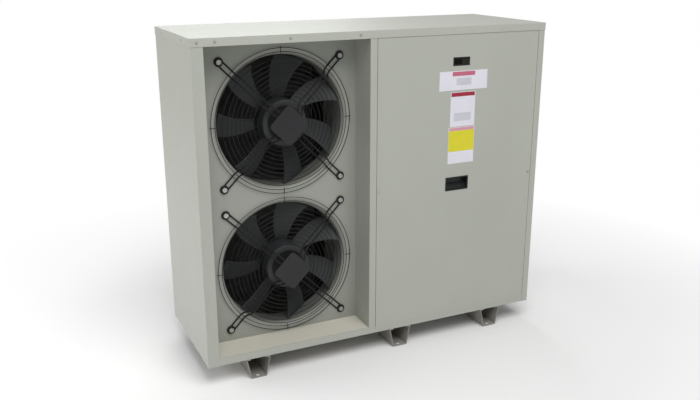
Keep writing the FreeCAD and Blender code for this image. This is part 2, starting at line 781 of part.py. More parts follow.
def panel_seal():
    """The foam frame on the landing lips, behind the access panel's turned edges."""
    body = new_body("panel_seal")
    left = f"({PANEL_LEFT} + panel_gap)"
    right = f"({PANEL_RIGHT} - panel_gap)"
    back = LANDING
    front = f"{LANDING} - seal_thickness"
    slab(body, "XZ_Plane", rectangle(left, EDGE_BOTTOM, right, EDGE_TOP), front, back)
    inside = rectangle(
        f"{left} + seal_width",
        f"{EDGE_BOTTOM} + seal_width",
        f"{right} - seal_width",
        f"{EDGE_TOP} - seal_width",
    )
    cut(body, "XZ_Plane", front, back, inside)


def panel_lock(name, x):
    """A quarter-turn stud with a slotted head, captive in the access panel."""
    front = f"(-{FACE_Y} - lock_head_thickness)"
    profile = [
        ("0", front),
        ("lock_head / 2", front),
        ("lock_head / 2", f"-{FACE_Y}"),
        ("lock_stud / 2", f"-{FACE_Y}"),
        ("lock_stud / 2", f"{front} + lock_reach"),
        ("0", f"{front} + lock_reach"),
    ]
    body = turned(name, "XY_Plane", profile, x, "0", "lock_z")
    slot = centred("0", "0", "lock_head", "lock_head / 8")
    cut(body, "XZ_Plane", front, f"{front} + lock_head_thickness * 0.6", slot)


# Fans


def polygon_prism(sides, radius, front, thickness):
    """A prism with straight sides, along the fan axis."""
    turn = 2 * math.pi / sides
    corners = [Vector(radius * math.sin(turn * n), front, radius * math.cos(turn * n)) for n in range(sides)]
    return Part.Face(Part.makePolygon(corners + corners[:1])).extrude(Vector(0, thickness, 0))


def ring_prism(sides, outer, inner, front, thickness):
    """A flat ring with straight sides, on the fan axis."""
    return polygon_prism(sides, outer, front, thickness).cut(polygon_prism(sides, inner, front, thickness))


def arm_line():
    """The (radius, height above the deck) corners of an arm, from its eyelet in to the motor plate."""
    foot = value("guard_outer_radius - guard_foot_inset")
    return [
        (value("eyelet_radius"), 0),
        (foot, 0),
        (foot - value("guard_slope_run"), value("guard_rise")),
        (value("guard_neck_radius"), value("guard_rise")),
        (value("plate_side / 2 + guard_standoff"), value("plate_rise")),
    ]


def arm_height(radius):
    """How far above the deck the arms pass at this radius."""
    corners = arm_line()
    for (outer, low), (inner, high) in zip(corners, corners[1:]):
        if radius >= inner:
            return low + (high - low) * (outer - radius) / (outer - inner)
    return high


def guard_bar(line, wire, offset):
    """One wire bent along a (radius, height) line, beside the twelve o'clock radius by an offset."""
    deck = value(f"{DECK_FRONT} - guard_standoff")
    back = [Vector(0, deck - height, radius) for radius, height in line]
    front = [Vector(0, point.y - wire, point.z) for point in reversed(back)]
    face = Part.Face(Part.makePolygon(back + front + back[:1]))
    face.translate(Vector(offset - wire / 2, 0, 0))
    return face.extrude(Vector(wire, 0, 0))


def guard_spoke():
    """A short thin wire behind the two rim rings, between two arms."""
    outer = value("guard_outer_radius + guard_spoke_outer")
    height = value("guard_wire - guard_ring_wire")
    line = [(outer, height), (outer - value("guard_spoke"), height)]
    return guard_bar(line, value("guard_ring_wire"), 0)


def guard_ring(radius):
    """A ring of thin wire, welded to the front of the arms."""
    wire = value("guard_ring_wire")
    front = value(f"{DECK_FRONT} - guard_standoff - guard_wire + guard_weld") - arm_height(radius) - wire
    sides = int(value("guard_ring_sides"))
    return ring_prism(sides, radius + wire / 2, radius - wire / 2, front, wire)


def guard(name, z):
    """The welded wire guard: rings on four double arms with eyelets, and on four short spokes."""
    wire = value("guard_wire")
    rim = value("guard_outer_radius")
    radii = [rim, rim - value("guard_rim_pitch")]
    for number in range(int(value("guard_rings"))):
        radii.append(rim - value("guard_ring_inset") - number * value("guard_ring_pitch"))
    wires = [guard_ring(radius) for radius in radii]
    front = value(f"{DECK_FRONT} - guard_standoff") - wire
    for quarter in range(4):
        eyelet = ring_prism(10, value("eyelet_outer"), value("eyelet_inner"), front, wire)
        eyelet.translate(Vector(0, 0, value("eyelet_radius")))
        arms = [guard_bar(arm_line(), wire, side * value("guard_arm_gap") / 2) for side in (-1, 1)]
        for piece in arms + [eyelet]:
            piece.rotate(Vector(0, 0, 0), Vector(0, 1, 0), 45 + 90 * quarter)
            wires.append(piece)
        spoke = guard_spoke()
        spoke.rotate(Vector(0, 0, 0), Vector(0, 1, 0), 90 * quarter)
        wires.append(spoke)
    welded = wires[0].fuse(wires[1:]).removeSplitter()
    add_shape(name, welded, Placement(Vector(value(FAN_X), 0, value(z)), Rotation()))


def motor_plate(name, z):
    """The square plate in the middle of the guard, on the ends of the arms, turned to face them."""
    body = new_body(name)
    half = "plate_side / 2"
    inset = "(plate_side / 2 - plate_corner)"
    outline = [
        (f"-{inset}", f"-{half}"),
        (inset, f"-{half}", "plate_corner", 1),
        (half, f"-{inset}"),
        (half, inset, "plate_corner", 1),
        (inset, half),
        (f"-{inset}", half, "plate_corner", 1),
        (f"-{half}", inset),
        (f"-{half}", f"-{inset}", "plate_corner", 1),
    ]
    slab(body, "XZ_Plane", outline, GUARD_FRONT, f"{GUARD_FRONT} + plate_thickness")
    body.Placement.Rotation = Rotation(Vector(0, 1, 0), 45)
    place(body, FAN_X, "0", z)


STATOR_FRONT = f"({GUARD_FRONT} + plate_thickness)"
ROTOR_FRONT = f"({DECK_FRONT} - rotor_front)"
ROTOR_BACK = f"({ROTOR_FRONT} + rotor_length)"
ROTOR_INNER = "(stator_radius + air_gap)"
ROTOR_RADIUS = f"({ROTOR_INNER} + rotor_wall)"
CORE_BACK = f"({ROTOR_BACK} - rotor_wall - air_gap * 2)"
FRONT_BEARING = f"({ROTOR_FRONT} + air_gap * 2 + bearing_seat)"


def stator(name, z):
    """The motor's fixed core: a flange on the plate, a neck and the winding drum, with two bearing seats."""
    core_front = f"({ROTOR_FRONT} + air_gap * 2)"
    bore = "(shaft_radius + air_gap)"
    profile = [
        (bore, STATOR_FRONT),
        ("stator_flange_radius", STATOR_FRONT),
        ("stator_flange_radius", f"{STATOR_FRONT} + stator_flange"),
        ("stator_neck_radius", f"{STATOR_FRONT} + stator_flange"),
        ("stator_neck_radius", core_front),
        ("stator_radius", core_front),
        ("stator_radius", CORE_BACK),
        ("bearing_radius", CORE_BACK),
        ("bearing_radius", f"{CORE_BACK} - bearing_width"),
        (bore, f"{CORE_BACK} - bearing_width"),
        (bore, f"{FRONT_BEARING} + bearing_width"),
        ("bearing_radius", f"{FRONT_BEARING} + bearing_width"),
        ("bearing_radius", FRONT_BEARING),
        (bore, FRONT_BEARING),
    ]
    turned(name, "XY_Plane", profile, FAN_X, "0", z)


def bearings(name, z):
    """The pair of ball bearings, each drawn as one closed ring."""
    width = value("bearing_width")
    rings = []
    for start in (value(FRONT_BEARING), value(CORE_BACK) - width):
        outer = fan_cylinder(value("bearing_radius"), start, width)
        rings.append(outer.cut(fan_cylinder(value("shaft_radius + running_gap"), start, width)))
    add_shape(name, Part.makeCompound(rings), Placement(Vector(value(FAN_X), 0, value(z)), Rotation()))


def rotor(name, z):
    """The outer rotor: a cup over the stator core, closed at the back, with the shaft in its middle."""
    profile = [
        ("0", FRONT_BEARING),
        ("shaft_radius", FRONT_BEARING),
        ("shaft_radius", f"{ROTOR_BACK} - rotor_wall"),
        (ROTOR_INNER, f"{ROTOR_BACK} - rotor_wall"),
        (ROTOR_INNER, ROTOR_FRONT),
        (ROTOR_RADIUS, ROTOR_FRONT),
        (ROTOR_RADIUS, ROTOR_BACK),
        ("0", ROTOR_BACK),
    ]
    turned(name, "XY_Plane", profile, FAN_X, "0", z)


def fan_cylinder(radius, start, length):
    """A cylinder on the fan axis."""
    return Part.makeCylinder(radius, length, Vector(0, start, 0), Vector(0, 1, 0))


def blade_edge_point(radius, side):
    """Where a blade's front (1) or back (-1) edge stands at this radius, seen along the fan axis."""
    share = (radius - value("hub_radius")) / value("blade_radius - hub_radius")
    half = value("blade_root_angle") + value("blade_tip_angle - blade_root_angle") * share
    angle = math.radians(value("blade_sweep") * share * abs(share) + side * half)
    return Vector(radius * math.sin(angle), 0, radius * math.cos(angle))


def blade():
    """One blade: a plate of one curve across the air stream, cut to a sickle outline and the tip circle."""
    hub = value("hub_radius")
    tip = value("blade_radius")
    front = value(f"{DECK_FRONT} - blade_front")
    depth = value("blade_depth")
    root = hub - value("press_gap + rotor_wall")
    radii = [root, (hub + tip) / 2, tip + value("blade_thickness")]
    front_edge = [blade_edge_point(radius, 1) for radius in radii]
    back_edge = [blade_edge_point(radius, -1) for radius in reversed(radii)]
    outline = Part.Wire([
        Part.Arc(*front_edge).toShape(),
        Part.makeLine(front_edge[-1], back_edge[0]),
        Part.Arc(*back_edge).toShape(),
        Part.makeLine(back_edge[-1], front_edge[0]),
    ])
    sickle = Part.Face(outline).extrude(Vector(0, depth * 2, 0))
    sickle.translate(Vector(0, front - depth / 2, 0))
    across = [point.x for point in front_edge + back_edge]
    back = Vector(0, value("blade_thickness"), 0)
    start = Vector(min(across), front + depth, root)
    end = Vector(max(across), front, root)
    belly = (start + end) / 2 + Vector(0, value("blade_camber"), 0)
    section = Part.Wire([
        Part.Arc(start, belly, end).toShape(),
        Part.makeLine(end, end + back),
        Part.Arc(end + back, belly + back, start + back).toShape(),
        Part.makeLine(start + back, start),
    ])
    plate = Part.Face(section).extrude(Vector(0, 0, radii[-1] - root))
    return plate.common(sickle).common(fan_cylinder(tip, front - depth, depth * 3))


def impeller(name, z):
    """Seven swept blades on a hub ring that is pressed over the rotor."""
    start = value(ROTOR_FRONT)
    length = value("rotor_length")
    count = int(value("blade_count"))
    blades = []
    for number in range(count):
        copy = blade()
        copy.rotate(Vector(0, 0, 0), Vector(0, 1, 0), value("blade_turn") + 360 / count * number)
        blades.append(copy)
    ring = fan_cylinder(value("hub_radius"), start, length)
    bore = fan_cylinder(value(f"{ROTOR_RADIUS} + press_gap"), start, length)
    wheel = ring.fuse(blades).cut(bore)
    add_shape(name, wheel, Placement(Vector(value(FAN_X), 0, value(z)), Rotation()))


def guard_screws():
    """Eight hexagon screws, one in each eyelet of both guards."""
    back = value(f"{DECK_FRONT} - guard_standoff - guard_wire")
    height = value("guard_screw_height")
    shank = value("guard_screw_shank") / 2
    solids = []
    for z in (LOWER_FAN_Z, UPPER_FAN_Z):
        for quarter in range(4):
            angle = math.radians(45 + 90 * quarter)
            reach = value("eyelet_radius")
            centre = Vector(value(FAN_X) + reach * math.sin(angle), 0, value(z) + reach * math.cos(angle))
            head = polygon_prism(6, value("guard_screw_head"), back - height, height)
            screw = head.fuse(polygon_prism(6, shank, back, value("guard_wire")))
            screw.translate(centre)
            solids += screw.Solids
    add_shape("guard_screws", Part.makeCompound(solids))


# Condenser

COIL_LEFT = f"(coil_side_gap - {INNER_X})"
COIL_RIGHT = f"({BAY_RIGHT} - 4 * coil_side_gap)"
COIL_FRONT = f"({COIL_REAR} - coil_thickness)"
COIL_BOTTOM = f"({BASE_TOP} + coil_foot_gap)"
COIL_TOP = f"({ROOF} - coil_foot_gap)"
GAS_Y = f"({COIL_REAR} - coil_thickness * 0.7)"
LIQUID_Y = f"({COIL_REAR} - coil_thickness * 0.25)"
HEADER_X = f"({BAY_RIGHT} - 2 * coil_side_gap)"


def condenser_coil():
    body = new_body("condenser_coil")
    section = rectangle(COIL_LEFT, COIL_FRONT, COIL_RIGHT, COIL_REAR)
    slab(body, "XY_Plane", section, COIL_BOTTOM, COIL_TOP)


def coil_end_plates():
    """Channel-shaped plates that hold the fin pack by its ends and stand on the base."""
    solids = []
    for inner, outer in ((COIL_LEFT, f"{COIL_LEFT} - end_plate"), (COIL_RIGHT, f"{COIL_RIGHT} + end_plate")):
        low, high = sorted((value(inner), value(outer)))
        plate = Part.makeBox(
            high - low,
            value("coil_thickness"),
            value(f"{ROOF} - {BASE_TOP}"),
            Vector(low, value(COIL_FRONT), value(BASE_TOP)),
        )
        solids.append(plate)
    add_shape("coil_end_plates", Part.makeCompound(solids))


def coil_baffle():
    """The sheet that closes the gap between the fin pack and the divider, so that no air passes beside it."""
    body = new_body("coil_baffle")
    back = f"{COIL_FRONT} + panel_steel"
    section = rectangle(f"{COIL_RIGHT} + end_plate", COIL_FRONT, BAY_RIGHT, back)
    slab(body, "XY_Plane", section, BASE_TOP, ROOF)


def coil_headers():
    """The gas and liquid manifolds at the coil's right end, with their branches into the fin pack."""
    bottom = value(f"{COIL_BOTTOM} + header_end_gap")
    top = value(f"{COIL_TOP} - header_end_gap")
    x = value(HEADER_X)
    solids = []
    for y, radius in ((value(GAS_Y), "gas_header_radius"), (value(LIQUID_Y), "liquid_header_radius")):
        header = rod(Vector(x, y, bottom), Vector(x, y, top), value(radius))
        branches = []
        for share in (0.15, 0.5, 0.85):
            height = bottom + (top - bottom) * share
            start = Vector(value(f"{COIL_RIGHT} + end_plate"), y, height)
            branches.append(rod(start, Vector(x, y, height), value("header_branch")))
        solids += header.fuse(branches).Solids
    add_shape("coil_headers", Part.makeCompound(solids))


def coil_guard():
    """The wire grille across the coil at the back: uprights with cross wires laid on them."""
    wire = value("grille_wire")
    left = value(f"rear_return - {FACE_X} - grille_margin")
    right = value(BAY_RIGHT)
    back = value(INNER_Y)
    bottom = value(f"{BASE_TOP} + panel_gap")
    top = value(f"{ROOF} - panel_gap")
    solids = []
    count = int((top - bottom) / value("grille_pitch"))
    for number in range(count + 1):
        height = bottom + (top - bottom - wire) * number / count
        solids.append(Part.makeBox(right - left, wire, wire, Vector(left, back - wire, height)))
    for number in range(5):
        across = left + (right - left - wire) * number / 4
        solids.append(Part.makeBox(wire, wire, top - bottom, Vector(across, back - 2 * wire, bottom)))
    grille = solids[0].fuse(solids[1:]).removeSplitter()
    add_shape("coil_guard", grille)


# Refrigerant circuit

COMPRESSOR_BASE = f"({BASE_TOP} + rubber_height)"
COMPRESSOR_TOP = f"({COMPRESSOR_BASE} + compressor_height)"


def compressor():
    """The welded shell with its shouldered ends, on a square foot plate."""
    body = new_body("compressor")
    half = "(mount_spacing / 2 + compressor_plate_margin)"
    slab(body, "XY_Plane", rectangle(f"-{half}", f"-{half}", half, half), "0", "compressor_plate")
    sketch = new_sketch(body, "XZ_Plane", "0")
    profile = [
        ("0", "compressor_plate"),
        ("compressor_radius * 0.8", "compressor_plate"),
        ("compressor_radius", "compressor_plate + shell_shoulder"),
        ("compressor_radius", "compressor_height - shell_shoulder * 2"),
        ("compressor_radius * 0.86", "compressor_height - shell_shoulder * 0.8"),
        ("compressor_radius * 0.45", "compressor_height"),
        ("0", "compressor_height"),
    ]
    draw(sketch, profile)
    shell = body.newObject("PartDesign::Revolution", "compressor_shell")
    shell.Profile = sketch
    shell.ReferenceAxis = (sketch, ["V_Axis"])
    shell.Angle = 360
    place(body, COMPRESSOR_X, "compressor_y", COMPRESSOR_BASE)


def compressor_mounts():
    """Four rubber grommets under the corners of the foot plate."""
    solids = []
    reach = value("mount_spacing") / 2
    centre = spot(COMPRESSOR_X, "compressor_y", BASE_TOP)
    for x_side in (-1, 1):
        for y_side in (-1, 1):
            corner = centre + Vector(x_side * reach, y_side * reach, 0)
            solids.append(Part.makeCylinder(value("rubber_radius"), value("rubber_height"), corner))
    add_shape("compressor_mounts", Part.makeCompound(solids))


def terminal_cover():
    """The moulded box over the compressor's terminals."""
    low = (
        f"{COMPRESSOR_X} - terminal_width / 2",
        "compressor_y - compressor_radius - terminal_depth",
        "terminal_z",
    )
    high = (
        f"{COMPRESSOR_X} + terminal_width / 2",
        "compressor_y - compressor_radius / 2",
        "terminal_z + terminal_height",
    )
    shell = upright(COMPRESSOR_X, "compressor_y", "compressor_radius")
    add_shape("terminal_cover", block(low, high).cut(shell))


def suction_accumulator():
    profile = [
        ("0", "0"),
        ("accumulator_radius * 0.6", "0"),
        ("accumulator_radius", "accumulator_shoulder"),
        ("accumulator_radius", "accumulator_height - accumulator_shoulder"),
        ("accumulator_radius * 0.6", "accumulator_height"),
        ("0", "accumulator_height"),
    ]
    turned("suction_accumulator", "XZ_Plane", profile, ACCUMULATOR_X, PUMP_Y, BASE_TOP)


def heat_exchanger():
    """The brazed plate exchanger in its foam jacket, on a foot that stands on the base."""
    body = new_body("heat_exchanger")
    across = "exchanger_width / 2"
    along = "exchanger_depth / 2"
    jacket = rectangle(f"-{across}", f"-{along}", across, along)
    slab(body, "XY_Plane", jacket, "0", "exchanger_height")
    inset = "exchanger_leg_inset"
    leg = rectangle(f"{inset} - {across}", f"{inset} - {along}", f"{across} - {inset}", f"{along} - {inset}")
    slab(body, "XY_Plane", leg, f"{BASE_TOP} - exchanger_z", "0")
    place(body, EXCHANGER_X, EXCHANGER_Y, "exchanger_z")


def swept_pipe(points, radius, bend):
    """A pipe along straight runs joined by bends of one radius."""
    edges = []
    here = points[0]
    for before, corner, after in zip(points, points[1:], points[2:]):
        into = (corner - before).normalize()
        out = (after - corner).normalize()
        half_turn = into.getAngle(out) / 2
        inset = bend * math.tan(half_turn)
        start = corner - into * inset
        end = corner + out * inset
        middle_way = (out - into).normalize()
        middle = corner + middle_way * (bend / math.cos(half_turn) - bend)
        edges.append(Part.makeLine(here, start))
        edges.append(Part.Arc(start, middle, end).toShape())
        here = end
    edges.append(Part.makeLine(here, points[-1]))
    path = Part.Wire(edges)
    circle = Part.makeCircle(radius, points[0], points[1] - points[0])
    return path.makePipe(Part.Face(Part.Wire(circle)))


def spot(x, y, z):
    return Vector(value(x), value(y), value(z))


def discharge_pipe():
    """From the compressor's crown up, back and through the divider to the gas manifold."""
    points = [
        spot(COMPRESSOR_X, "compressor_y", COMPRESSOR_TOP),
        spot(COMPRESSOR_X, "compressor_y", GAS_Z),
        spot(COMPRESSOR_X, GAS_Y, GAS_Z),
        spot(f"{HEADER_X} + gas_header_radius + seal_gap", GAS_Y, GAS_Z),
    ]
    add_shape("discharge_pipe", swept_pipe(points, value("gas_pipe"), value("pipe_bend")))


def filter_drier():
    """A capsule in the liquid line, upright."""
    profile = [
        ("0", "0"),
        ("drier_radius * 0.4", "0"),
        ("drier_radius", "drier_shoulder"),
        ("drier_radius", "drier_length - drier_shoulder"),
        ("drier_radius * 0.4", "drier_length"),
        ("0", "drier_length"),
    ]
    turned("filter_drier", "XZ_Plane", profile, DRIER_X, LIQUID_Y, DRIER_Z)


def liquid_pipe():
    """From the liquid manifold through the divider and up to the drier."""
    points = [
        spot(f"{HEADER_X} + liquid_header_radius + seal_gap", LIQUID_Y, "liquid_z"),
        spot(DRIER_X, LIQUID_Y, "liquid_z"),
        spot(DRIER_X, LIQUID_Y, DRIER_Z),
    ]
    add_shape("liquid_pipe", swept_pipe(points, value("liquid_pipe"), value("pipe_bend")))


def expansion_valve():
    """The valve body above the drier, with its round power head on top and its outlet into the exchanger."""
    half = "valve_body / 2"
    body = block(
        (f"{DRIER_X} - {half}", f"{LIQUID_Y} - {half}", VALVE_Z),
        (f"{DRIER_X} + {half}", f"{LIQUID_Y} + {half}", f"{VALVE_Z} + valve_height"),
    )
    top = spot(DRIER_X, LIQUID_Y, f"{VALVE_Z} + valve_height")
    head = Part.makeCylinder(value("valve_head / 2"), value("valve_head_height"), top)
    inlet = rod(spot(DRIER_X, LIQUID_Y, f"{DRIER_Z} + drier_length"), top, value("liquid_pipe"))
    outlet_z = f"{VALVE_Z} + valve_height / 2"
    outlet_end = spot(EXCHANGER_SIDE, LIQUID_Y, outlet_z)
    outlet = rod(spot(DRIER_X, LIQUID_Y, outlet_z), outlet_end, value("liquid_pipe"))
    add_shape("expansion_valve", body.fuse([head, inlet, outlet]).removeSplitter())


def suction_pipe():
    """From the exchanger over to the accumulator, and the short link from there into the compressor."""
    points = [
        spot(EXCHANGER_SIDE, PUMP_Y, "suction_z"),
        spot(ACCUMULATOR_X, PUMP_Y, "suction_z"),
        spot(ACCUMULATOR_X, PUMP_Y, f"{BASE_TOP} + accumulator_height"),
    ]
    run = swept_pipe(points, value("gas_pipe"), value("pipe_bend"))
    start = spot(COMPRESSOR_X, "compressor_y", "suction_link_z")
    end = spot(ACCUMULATOR_X, PUMP_Y, "suction_link_z")
    link = rod(start, end, value("gas_pipe"))
    link = link.cut(upright(COMPRESSOR_X, "compressor_y", "compressor_radius"))
    link = link.cut(upright(ACCUMULATOR_X, PUMP_Y, "accumulator_radius"))
    add_shape("suction_pipe", Part.makeCompound([run] + link.Solids))


# Water circuit


def pump():
    """The circulation pump: a volute on a foot, its motor on top and its outlet into the exchanger."""
    body = new_body("pump")
    half = "pump_foot / 2"
    foot_top = f"{BASE_TOP} + pump_foot_height"
    slab(body, "XY_Plane", rectangle(f"-{half}", f"-{half}", half, half), BASE_TOP, foot_top)
    sketch = new_sketch(body, "XZ_Plane", "0")
    profile = [
        ("0", foot_top),
        ("pump_foot * 0.4", foot_top),
        ("pump_foot * 0.4", "water_z - volute_height / 2"),
        ("pump_radius", "water_z - volute_height / 2"),
        ("pump_radius", "water_z + volute_height / 2"),
        ("pump_motor_radius", "water_z + volute_height / 2"),
        ("pump_motor_radius", "water_z + volute_height / 2 + pump_motor_height"),
        ("0", "water_z + volute_height / 2 + pump_motor_height"),
    ]
    draw(sketch, profile)
    turn = body.newObject("PartDesign::Revolution", "pump_turn")
    turn.Profile = sketch
    turn.ReferenceAxis = (sketch, ["V_Axis"])
    turn.Angle = 360
    branch = new_sketch(body, "YZ_Plane", "0")
    draw_circles(branch, [("0", "water_z")], "pump_branch")
    outlet = body.newObject("PartDesign::Pad", "pump_outlet")
    outlet.Profile = branch
    outlet.setExpression("Length", linked("pump_spacing"))
    place(body, PUMP_X, PUMP_Y)


def water_pipe(x, start_y):
    """A straight water pipe that ends in a threaded stub outside the cabinet, open all through."""
    wall_face = spot(x, "cabinet_depth / 2", "water_z")
    start = spot(x, start_y, "water_z")
    end = spot(x, "cabinet_depth / 2 + stub_reach", "water_z")
    outside = rod(start, wall_face, value("water_pipe")).fuse(rod(wall_face, end, value("water_stub")))
    return outside.cut(rod(start, end, value("water_bore")))


def water_inlet_pipe():
    """From the stub straight to the pump, shaped to the side of its volute."""
    pipe = water_pipe(PUMP_X, PUMP_Y)
    add_shape("water_inlet_pipe", pipe.cut(upright(PUMP_X, PUMP_Y, "pump_radius")))


def water_outlet_pipe():
    """From the back of the exchanger to the stub."""
    pipe = water_pipe(OUTLET_X, f"{EXCHANGER_Y} + exchanger_depth / 2")
    add_shape("water_outlet_pipe", pipe)


VESSEL_X = f"({INNER_X} - vessel_radius - seal_gap)"


def expansion_vessel():
    """The round vessel that hangs on the right side panel."""
    profile = [
        ("0", "0"),
        ("vessel_radius * 0.55", "0"),
        ("vessel_radius", "vessel_shoulder"),
        ("vessel_radius", "vessel_height - vessel_shoulder"),
        ("vessel_radius * 0.55", "vessel_height"),
        ("0", "vessel_height"),
    ]
    turned("expansion_vessel", "XZ_Plane", profile, VESSEL_X, "vessel_y", "vessel_z")


def vessel_pipe():
    """From the underside of the vessel down and back into the exchanger."""
    points = [
        spot(VESSEL_X, "vessel_y", "vessel_z"),
        spot(VESSEL_X, "vessel_y", "vessel_pipe_z"),
        spot(VESSEL_X, f"{EXCHANGER_Y} - exchanger_depth / 2", "vessel_pipe_z"),
    ]
    add_shape("vessel_pipe", swept_pipe(points, value("vessel_pipe"), value("pipe_bend")))


# Electrical

TURRET_FRONT = f"(bezel_thickness - {FACE_Y} + key_travel)"


def electrical_box():
    """The open-fronted steel box across the top of the machine bay, between divider and side panel."""
    body = new_body("electrical_box")
    back = f"(box_depth - {BOX_FRONT})"
    slab(body, "XZ_Plane", rectangle(BOX_LEFT, BOX_BOTTOM, INNER_X, BOX_TOP), f"-{BOX_FRONT}", back)
    inside = rectangle(
        f"{BOX_LEFT} + box_steel",
        f"{BOX_BOTTOM} + box_steel",
        f"{INNER_X} - box_steel",
        f"{BOX_TOP} - box_steel",
    )
    cut(body, "XZ_Plane", f"-{BOX_FRONT}", f"{back} - box_steel", inside)


def electrical_box_cover():
    """The box's front sheet, with a turret that brings the controller up to the window."""
    body = new_body("electrical_box_cover")
    front = f"(-{BOX_FRONT} - box_steel)"
    slab(body, "XZ_Plane", rectangle(BOX_LEFT, BOX_BOTTOM, INNER_X, BOX_TOP), front, f"-{BOX_FRONT}")
    turret = centred(WINDOW_X, WINDOW_Z, "turret_width", "turret_height")
    slab(body, "XZ_Plane", turret, TURRET_FRONT, front)
    hollow = centred(WINDOW_X, WINDOW_Z, "turret_width - 2 * box_steel", "turret_height - 2 * box_steel")
    cut(body, "XZ_Plane", f"{TURRET_FRONT} + box_steel", f"-{BOX_FRONT}", hollow)
    lap = "2 * controller_lap"
    opening = centred(WINDOW_X, WINDOW_Z, f"controller_width - {lap}", f"controller_height - {lap}")
    cut(body, "XZ_Plane", TURRET_FRONT, f"{TURRET_FRONT} + box_steel", opening)


KEY_X = f"({WINDOW_X} + controller_width / 2 - key_edge)"
KEY_BACK = f"({TURRET_FRONT} - panel_gap / 2)"


def controller():
    """The panel controller: a bezel on the turret, the housing behind it and four pockets for the keys."""
    body = new_body("controller")
    bezel = centred(WINDOW_X, WINDOW_Z, "controller_width", "controller_height")
    slab(body, "XZ_Plane", bezel, f"{TURRET_FRONT} - bezel_thickness", TURRET_FRONT)
    inset = "2 * (controller_lap + controller_play)"
    housing = centred(WINDOW_X, WINDOW_Z, f"controller_width - {inset}", f"controller_height - {inset}")
    slab(body, "XZ_Plane", housing, TURRET_FRONT, f"{TURRET_FRONT} + controller_depth")
    front = f"{TURRET_FRONT} - bezel_thickness"
    for x_place, z_place in key_places():
        pocket = centred(x_place, z_place, "key_width + 2 * key_play", "key_height + 2 * key_play")
        cut(body, "XZ_Plane", front, KEY_BACK, pocket)


def key_places():
    """The four keys in two columns at the right of the controller."""
    columns = (f"({KEY_X} - key_pitch_x)", KEY_X)
    rows = (f"({WINDOW_Z} + key_pitch_z / 2)", f"({WINDOW_Z} - key_pitch_z / 2)")
    return [(x, z) for z in rows for x in columns]


def key(name, x, z):
    """A key that stands off the floor of its pocket by its travel."""
    body = new_body(name)
    front = f"{TURRET_FRONT} - bezel_thickness - key_travel"
    back = f"{KEY_BACK} - key_travel - seal_gap"
    slab(body, "XZ_Plane", centred(x, z, "key_width", "key_height"), front, back)


def cable_gland():
    """The gland for the supply cable in the rear panel: a nut inside, a hexagon and a dome outside."""
    bore = value("gland_bore")
    outside = value(FACE_Y)
    inside = value(INNER_Y)
    nut = value("gland_nut")
    collar = value("gland_collar")
    dome = value("gland_dome")
    tip = bore + value("gland_lip")
    hexagon = value("gland_hexagon")
    length = nut + outside - inside + collar + dome
    neck = fan_cylinder(bore + value("gland_wall - seal_gap"), inside, outside - inside)
    rear = polygon_prism(6, hexagon, outside, collar)
    front = polygon_prism(6, hexagon, inside - nut, nut)
    base = Vector(0, outside + collar, 0)
    top = Part.makeCone(bore + 2 * value("gland_wall"), tip, dome, base, Vector(0, 1, 0))
    gland = neck.fuse([front, rear, top]).cut(fan_cylinder(bore, inside - nut, length))
    add_shape("cable_gland", gland, Placement(Vector(value(GLAND_X), 0, value("gland_z")), Rotation()))


def cover_screws():
    """Low screws in the cover's lips: one in the corner, a row over the fan bay and two on each side."""
    height = value("foot_height + cabinet_height - cover_lip / 2")
    thickness = value("cover_screw_height")
    left = -value("cabinet_width / 2")
    along = value("cabinet_depth / 2")
    row = [value("screw_row_inset") + value("screw_row_pitch") * number for number in range(3)]
    solids = []
    for turn in (0, 180):
        for inset in [value("corner_screw_inset")] + row:
            head = polygon_prism(8, value("cover_screw_head / 2"), -along - thickness, thickness)
            head.translate(Vector(left + inset, 0, height))
            if turn:
                head = head.mirror(Vector(0, 0, 0), Vector(0, 1, 0))
            solids.append(head)
        for inset in (-value("side_screw_spacing / 2"), value("side_screw_spacing / 2")):
            head = polygon_prism(8, value("cover_screw_head / 2"), left - thickness, thickness)
            head.rotate(Vector(0, 0, 0), Vector(0, 0, 1), turn - 90)
            head.translate(Vector(0, inset, height))
            solids.append(head)
    add_shape("cover_screws", Part.makeCompound(solids))


def build():
    base_tray()
    foot("foot_left", "foot_inset - cabinet_width / 2")
    foot("foot_middle", "middle_foot_x")
    foot("foot_right", "cabinet_width / 2 - foot_inset")
    foot_bolts()
    left_side_panel()
    right_side_panel()
    fan_bay_divider()
    front_rail()
    top_cover()
    cover_screws()
    rear_panel()
    fan_deck()
    access_panel()
    pull_cup()
    panel_seal()
    panel_lock("panel_lock_left", f"{PANEL_LEFT} + panel_gap + lock_inset")
    panel_lock("panel_lock_right", f"{PANEL_RIGHT} - panel_gap - lock_inset")
    for name, z in (("upper", UPPER_FAN_Z), ("lower", LOWER_FAN_Z)):
        guard(f"{name}_guard", z)
        motor_plate(f"{name}_motor_plate", z)
        stator(f"{name}_stator", z)
        bearings(f"{name}_bearings", z)
        rotor(f"{name}_rotor", z)
        impeller(f"{name}_impeller", z)
    guard_screws()
    condenser_coil()
    coil_end_plates()
    coil_baffle()
    coil_headers()
    coil_guard()
    compressor()
    compressor_mounts()
    terminal_cover()
    suction_accumulator()
    heat_exchanger()
    discharge_pipe()
    filter_drier()
    liquid_pipe()
    expansion_valve()
    suction_pipe()
    pump()
    water_inlet_pipe()
    water_outlet_pipe()
    expansion_vessel()
    vessel_pipe()
    electrical_box()
    electrical_box_cover()
    controller()
    for number, (x, z) in enumerate(key_places()):
        key(f"key_{number + 1}", x, z)
    cable_gland()


